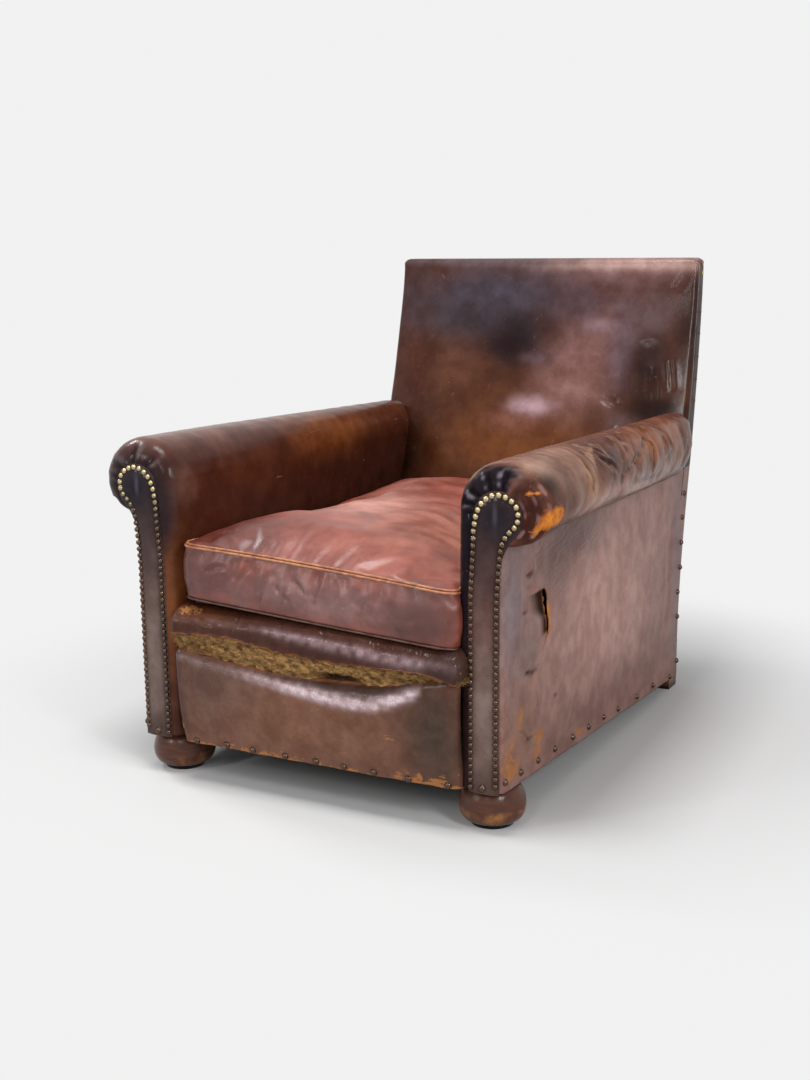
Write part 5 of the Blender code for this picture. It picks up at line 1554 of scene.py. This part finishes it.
# ------------------------------------------------------------------ seat cushion
# A loose cushion of newer, redder hide, packed with feathers: a crowned top and bottom on a boxing as deep as a
# hand, sewn with a pair of tan welts above and a thin dark piping below. It slopes with the worn seat.

CUSHION_HALF = 0.2315
CUSHION_ROUND = 0.030
CUSHION_FRONT, CUSHION_REAR = -0.018, 0.706
SHIFT = 0.0095  # it has slid to the right
SEAM_TOP, SEAM_BOTTOM, CROWN = 0.3795, 0.2930, 0.038


def rounded_rectangle(columns, rows):
    """Grid over a rectangle with round corners: each corner square is squeezed into a quarter disc."""
    u, v = np.meshgrid(np.linspace(-1, 1, columns), np.linspace(-1, 1, rows))
    half_deep = (CUSHION_REAR - CUSHION_FRONT) / 2
    x, y = u * CUSHION_HALF, v * half_deep
    cx = np.clip((np.abs(x) - CUSHION_HALF + CUSHION_ROUND) / CUSHION_ROUND, 0, 1)
    cy = np.clip((np.abs(y) - half_deep + CUSHION_ROUND) / CUSHION_ROUND, 0, 1)
    x -= np.sign(x) * CUSHION_ROUND * (cx - cx * np.sqrt(1 - cy**2 / 2))
    y -= np.sign(y) * CUSHION_ROUND * (cy - cy * np.sqrt(1 - cx**2 / 2))
    return np.stack([x, y + half_deep + CUSHION_FRONT], -1), u, v


def cushion_box(columns=71, rows=111, high=15):
    """The cushion before it is filled out: crowned top and bottom panels, and a boxing between their rims."""
    flat, u, v = rounded_rectangle(columns, rows)
    dome = CROWN * (1 - np.abs(u) ** 3.6) ** 0.6 * (1 - np.abs(v) ** 6) ** 0.6 * (1 + 0.36 * v - 0.10 * u)
    top = np.dstack([flat, SEAM_TOP + dome])
    bottom = np.dstack([flat, SEAM_BOTTOM - 0 * dome])
    up = np.linspace(0, 1, high)[:, None, None]
    side = rim(bottom) * (1 - up) + rim(top) * up
    out = unit((rim(top) - (0, (CUSHION_FRONT + CUSHION_REAR) / 2, 0)) * (1, 1, 0))
    return top, bottom, side + out * 0.004 * np.sin(math.pi * up)


def settled(points):
    """Drops the cushion to the worn seat: it slopes back and to the right, and shifts against the right arm."""
    x, a = points[..., 0], points[..., 1]
    drop = 0.058 * a + 0.065 * x + 0.003
    drop = drop + 0.004 * (x / CUSHION_HALF) ** 2 * smooth(points[..., 2], 0.33, 0.38)
    flare = 0.013 * smooth(a, 0.035, -0.012) * np.clip(x / CUSHION_HALF, 0, 1) ** 2
    return np.stack([x + SHIFT + flare, FACE_Y + a, points[..., 2] - drop], -1)


def points_of(mesh):
    """The points of a mesh as an array."""
    places = np.empty(len(mesh.vertices) * 3, np.float32)
    mesh.vertices.foreach_get("co", places)
    return places.reshape(-1, 3)


def puffed(mesh, places, frames=20, cap=0.024):
    """Cloth simulation of the filling: pressure without gravity, held at the seams and the bottom panel.

    The hide is given 2 percent more than the shape needs, so that it creases as it fills out, and no point moves
    further than cap.
    """
    made = bpy.data.objects.new("puffing", mesh)
    bpy.context.scene.collection.objects.link(made)
    at_seam = np.abs(places[:, 2] - SEAM_TOP) < 0.0002
    held = made.vertex_groups.new(name="held")
    pinned = np.flatnonzero(at_seam | (places[:, 2] < SEAM_BOTTOM + 0.0002))
    held.add(pinned.tolist(), 1.0, "REPLACE")
    cloth = made.modifiers.new("filling", "CLOTH")
    cloth.settings.vertex_group_mass = "held"
    cloth.settings.use_pressure = True
    cloth.settings.uniform_pressure_force = 4.0
    cloth.settings.shrink_min = -0.022
    cloth.settings.quality = 6
    cloth.settings.bending_stiffness = 2.0
    cloth.settings.effector_weights.gravity = 0.0
    cloth.point_cache.frame_start, cloth.point_cache.frame_end = 1, frames
    scene = bpy.context.scene
    for number in range(1, frames + 1):
        scene.frame_set(number)
    graph = bpy.context.evaluated_depsgraph_get()
    moved = points_of(bpy.data.meshes.new_from_object(made.evaluated_get(graph))) - places
    length = np.linalg.norm(moved, axis=1, keepdims=True)
    bpy.data.objects.remove(made)
    scene.frame_set(1)
    return places + moved * np.minimum(1, cap / np.maximum(length, 1e-9))


# Creases of the top, as (across, distance back), with width and depth.
TOP_CREASES = [
    ([(-0.190, 0.620), (-0.060, 0.560), (0.080, 0.520), (0.190, 0.510)], 0.014, 0.0034),
    ([(-0.120, 0.660), (0.020, 0.610), (0.170, 0.580)], 0.012, 0.0028),
    ([(-0.060, 0.480), (0.060, 0.440), (0.200, 0.430)], 0.014, 0.0024),
    ([(0.050, 0.360), (0.140, 0.330), (0.215, 0.335)], 0.012, 0.0020),
    ([(-0.215, 0.420), (-0.120, 0.370), (-0.050, 0.300)], 0.018, 0.0022),
    ([(0.120, 0.080), (0.160, 0.050), (0.215, 0.040)], 0.012, 0.0018),
    ([(-0.150, 0.180), (-0.060, 0.130), (0.040, 0.110)], 0.020, 0.0016),
]
# Creases of the front boxing, as (across, height on the boxing), with width and depth.
BOX_CREASES = [
    ([(-0.120, 0.020), (-0.107, 0.045), (-0.092, 0.070)], 0.0034, 0.0026),
    ([(-0.078, 0.012), (-0.066, 0.040), (-0.054, 0.066)], 0.0034, 0.0026),
    ([(-0.040, 0.016), (-0.028, 0.034), (-0.018, 0.028)], 0.0040, 0.0040),
    ([(-0.046, 0.052), (-0.032, 0.036), (-0.018, 0.050)], 0.0034, 0.0026),
    ([(0.020, 0.024), (0.030, 0.048), (0.036, 0.068)], 0.0036, 0.0028),
    ([(-0.010, 0.060), (0.012, 0.044), (0.030, 0.046)], 0.0034, 0.0022),
    ([(-0.170, 0.048), (-0.150, 0.060), (-0.128, 0.062)], 0.0040, 0.0022),
    ([(0.055, 0.030), (0.064, 0.056), (0.060, 0.074)], 0.0038, 0.0024),
    ([(0.080, 0.052), (0.100, 0.040), (0.118, 0.058)], 0.0040, 0.0020),
    ([(0.090, 0.024), (0.140, 0.020), (0.200, 0.026)], 0.0070, -0.0018),
    ([(-0.200, 0.030), (-0.165, 0.018), (-0.130, 0.022)], 0.0050, 0.0018),
    ([(-0.006, 0.014), (0.004, 0.030)], 0.0034, 0.0022),
]


def cushion_leather():
    """Newer oxblood hide, dry and softly polished, darker where tone is low, with a fine grain."""
    hide = Finish("cushion_hide")
    tone = hide.painted("tone", "Color")
    mottle, fine = hide.noise(20, 5, 0.6), hide.noise(190, 5, 0.65)
    colour = hide.mix(hide.ramp(mottle, 0.32, 0.70), hide.mix(1.0, tone, "cdbdb8", "MULTIPLY"), tone)
    colour = hide.mix(hide.times(hide.ramp(fine, 0.56, 0.75), 0.30), colour, "5b2a20")
    pale = hide.times(hide.ramp(hide.noise(60, 5, 0.6), 0.60, 0.78), 0.25)
    colour = hide.mix(pale, colour, "c08a78")
    roughness = hide.ramp(mottle, 0.25, 0.75, 0.32, 0.44)
    normal = hide.bump(hide.cells(620, "SMOOTH_F1"), 0.0003, 0.4)
    normal = hide.bump(hide.noise(55, 5, 0.6), 0.0014, 0.45, normal)
    return hide.finish(colour, roughness, normal)


def subdivided(mesh, places):
    """The mesh with its points at the given places, each face then split in four and smoothed; its points."""
    mesh.vertices.foreach_set("co", np.asarray(places, np.float32).ravel())
    made = bpy.data.objects.new("rounding", mesh)
    bpy.context.scene.collection.objects.link(made)
    made.modifiers.new("rounder", "SUBSURF").levels = 1
    graph = bpy.context.evaluated_depsgraph_get()
    result = bpy.data.meshes.new_from_object(made.evaluated_get(graph))
    bpy.data.objects.remove(made)
    return result, points_of(result)


top, bottom, side = cushion_box()
mesh = closed_box("cushion", top, bottom, side)
before = points_of(mesh)
places = puffed(mesh, before)
_, before = subdivided(mesh, before)
mesh, places = subdivided(mesh, places)
on_top = smooth(before[:, 2], SEAM_TOP - 0.002, SEAM_TOP + 0.003)
crown_folds, _ = creases(before[:, :2], TOP_CREASES)
level = before * (1, 1, 0)
crown_lumps = 0.0016 * unevenness(level, 0.12, 131) + 0.0007 * unevenness(level, 0.04, 132)
box_places = np.stack([before[:, 0] + SHIFT, before[:, 2] - SEAM_BOTTOM], -1)
box_folds, _ = creases(box_places, BOX_CREASES)
on_front = smooth(before[:, 1], CUSHION_FRONT + 0.030, CUSHION_FRONT + 0.006)
on_box = smooth(before[:, 2] - SEAM_BOTTOM, 0.002, 0.014) * smooth(SEAM_TOP - before[:, 2], 0.002, 0.014)
places = places + (0, 0, 1) * ((crown_folds + crown_lumps) * on_top)[:, None]
box_crumple, _ = crumpled(box_places @ np.array([(0.94, 0.34), (-0.34, 0.94)]) * (1, 0.6), 0.034, 133)
box_crumple *= 0.0075 * spot(box_places, (-0.01, 0.045), (0.13, 0.045))
places -= (0, 1, 0) * ((box_folds + box_crumple) * on_front * on_box)[:, None]
places = settled(places)
mesh.vertices.foreach_set("co", places.astype(np.float32).ravel())
tone = stain(
    places,
    "8f4a3b",
    [
        # painted highlight: the three pale patches on the top
        (-0.15, 0.34, 0.40, 0.08, 0.08, 0.08, "b97d70", 0.7),
        (-0.04, 0.24, 0.40, 0.12, 0.09, 0.08, "c68e81", 0.9),
        (0.14, 0.22, 0.38, 0.09, 0.14, 0.08, "b8755f", 0.7),
        (-0.17, 0.02, 0.40, 0.13, 0.08, 0.08, "5c2a22", 0.95),
        (0.02, 0.63, 0.40, 0.25, 0.10, 0.08, "7e4034", 0.85),
        (0.02, -0.028, 0.33, 0.34, 0.022, 0.042, "784b46", 0.97),
        (0.03, -0.028, 0.325, 0.13, 0.020, 0.025, "93706d", 0.8),
        (-0.20, -0.028, 0.35, 0.07, 0.020, 0.05, "5c3636", 0.8),
        (0.21, -0.028, 0.32, 0.06, 0.030, 0.06, "54302c", 0.9),
    ],
    seed=134,
    ragged=0.4,
)
mesh.attributes.new("tone", "FLOAT_COLOR", "POINT").data.foreach_set("color", tone.astype(np.float32).ravel())
cushion = piece("seat_cushion_hide", mesh, cushion_leather(), "cushion_leather", ["seat_cushion"])


def tube(name, line, radius, sides=10):
    """A cord along a closed line: a ring of the given radius at each place, square to the line's way."""
    ahead = unit(np.roll(line, -1, 0) - np.roll(line, 1, 0))
    side = unit(np.cross(ahead, (0, 0, 1.0)))
    up = np.cross(side, ahead)
    turn = np.linspace(0, 2 * math.pi, sides + 1)[:-1, None]
    ring = side[:, None] * np.cos(turn) + up[:, None] * np.sin(turn)
    points = line[:, None] + radius * ring
    return grid_mesh(name, np.concatenate([points, points[:1]]), wrap=True, flip=True)


def closed_line(line, count=700):
    """A closed line spread evenly by length and softened by a running average."""
    line = evenly(np.concatenate([line, line[:1]]), count + 1)[:-1]
    return (np.roll(line, 1, 0) + line + np.roll(line, -1, 0)) / 3


def welt_leather(name, low, high, gloss):
    """Narrow cord of hide, paler in patches, with a close grain."""
    cord = Finish(name)
    wear = cord.noise(70, 5, 0.6)
    colour = cord.mix(cord.ramp(wear, 0.35, 0.65), low, high)
    return cord.finish(colour, gloss, cord.bump(cord.noise(400, 3), 0.0003))


seam_line = settled(closed_line(rim(top)))
middle = settled(np.array([[0, (CUSHION_FRONT + CUSHION_REAR) / 2, SEAM_TOP]]))[0]
out = unit((seam_line - middle) * (1, 1, 0))
welts = [seam_line + out * aside + (0, 0, lift) for aside, lift in ((-0.0020, 0.0022), (0.0014, -0.0012))]
mesh = joined("welts", [weld(tube("welt", line, 0.0019)) for line in welts])
tan_hide = welt_leather("welt_hide", "8a5036", "b57a55", 0.45)
piece("cushion_welts_top", mesh, tan_hide, "piping_leather", ["cushion_piping_top"])
seam_line = settled(closed_line(rim(bottom)))
cord = weld(tube("piping", seam_line + out * 0.001, 0.0017))
dark_hide = welt_leather("piping_hide", "38211c", "5d3c31", 0.42)
piece("cushion_piping_under", cord, dark_hide, "piping_leather", ["cushion_piping_bottom"])

# ------------------------------------------------------------------ floor, lights and camera
# A plain pale floor that runs on into the backdrop, large soft lamps overhead and to the left, and a camera at
# standing height to the right of the front.


def studio_white():
    """Matt white that takes shadows near the chair and is even white further off."""
    white = Finish("studio_white")
    near = white.add("VectorMath", "Value", {0: white.place}, operation="LENGTH")
    diffuse = white.add("BsdfDiffuse", 0, {"Color": (0.60, 0.60, 0.60, 1)})
    glow = white.add("Emission", 0, {"Color": (0.885, 0.885, 0.885, 1), "Strength": 1.0})
    rays = [white.add("LightPath", f"Is {kind} Ray") for kind in ("Camera", "Glossy", "Transmission")]
    seen = white.maths("MAXIMUM", white.maths("MAXIMUM", rays[0], rays[1]), rays[2])
    share = white.times(seen, white.ramp(near, 0.38, 1.12))
    cover = white.add("MixShader", 0, {0: share, 1: diffuse, 2: glow})
    output = next(n for n in white.tree.nodes if n.type == "OUTPUT_MATERIAL")
    white.tree.links.new(cover, output.inputs["Surface"])
    return white.material


corners = np.array([[(-12, -12, 0), (12, -12, 0)], [(-12, 12, 0), (12, 12, 0)]], float)
floor = bpy.data.objects.new("floor", grid_mesh("floor", corners))
floor.data.materials.append(studio_white())
bpy.context.scene.collection.objects.link(floor)

world = bpy.data.worlds.new("studio")
bpy.context.scene.world = world
world.use_nodes = True
sky = world.node_tree
background = sky.nodes["Background"]
path = sky.nodes.new("ShaderNodeLightPath")
seen = sky.nodes.new("ShaderNodeMix")
seen.inputs[2].default_value = 0.38
seen.inputs[3].default_value = 0.885
rays = [path.outputs["Is Camera Ray"], path.outputs["Is Glossy Ray"], path.outputs["Is Transmission Ray"]]
for ray in rays[1:]:
    either = sky.nodes.new("ShaderNodeMath")
    either.operation = "MAXIMUM"
    sky.links.new(rays[0], either.inputs[0])
    sky.links.new(ray, either.inputs[1])
    rays[0] = either.outputs[0]
sky.links.new(rays[0], seen.inputs[0])
sky.links.new(seen.outputs[0], background.inputs["Strength"])
background.inputs["Color"].default_value = (1, 1, 1, 1)


def softbox(name, place, target, size, power):
    lamp = bpy.data.lights.new(name, "AREA")
    lamp.shape = "RECTANGLE"
    lamp.size, lamp.size_y = size
    lamp.energy = power
    obj = bpy.data.objects.new(name, lamp)
    obj.location = place
    obj.rotation_euler = (Vector(target) - Vector(place)).to_track_quat("-Z", "Y").to_euler()
    bpy.context.scene.collection.objects.link(obj)


softbox("overhead", (0.0, -0.7, 2.5), (0, -0.1, 0.3), (0.8, 0.6), 40)
softbox("left", (-2.3, 0.1, 2.2), (0, 0, 0.4), (0.5, 0.6), 30)
softbox("left_front", (-1.15, -2.35, 1.1), (0, -0.4, 0.3), (0.25, 0.4), 9)
softbox("right_front", (2.3, -1.7, 1.6), (0, 0, 0.4), (0.5, 0.7), 34)
softbox("front", (0.5, -3.0, 1.9), (0, 0, 0.4), (0.4, 0.5), 10)

camera = bpy.data.objects.new("camera", bpy.data.cameras.new("camera"))
camera.data.lens = 48.46
camera.data.sensor_width = 36.0
YAW, PITCH, ROLL = 0.4879, 0.2052, -0.0119
ahead = Vector((-math.sin(YAW) * math.cos(PITCH), math.cos(YAW) * math.cos(PITCH), -math.sin(PITCH)))
right = Vector((math.cos(YAW), math.sin(YAW), 0))
up = right.cross(ahead)
right, up = right * math.cos(ROLL) + up * math.sin(ROLL), up * math.cos(ROLL) - right * math.sin(ROLL)
turned = Matrix((right, up, -ahead)).transposed().to_4x4()
camera.matrix_world = Matrix.Translation((1.1191, FACE_Y - 1.7972, 0.8495)) @ turned
bpy.context.scene.collection.objects.link(camera)
bpy.context.scene.camera = camera
bpy.context.scene.view_settings.view_transform = "Standard"
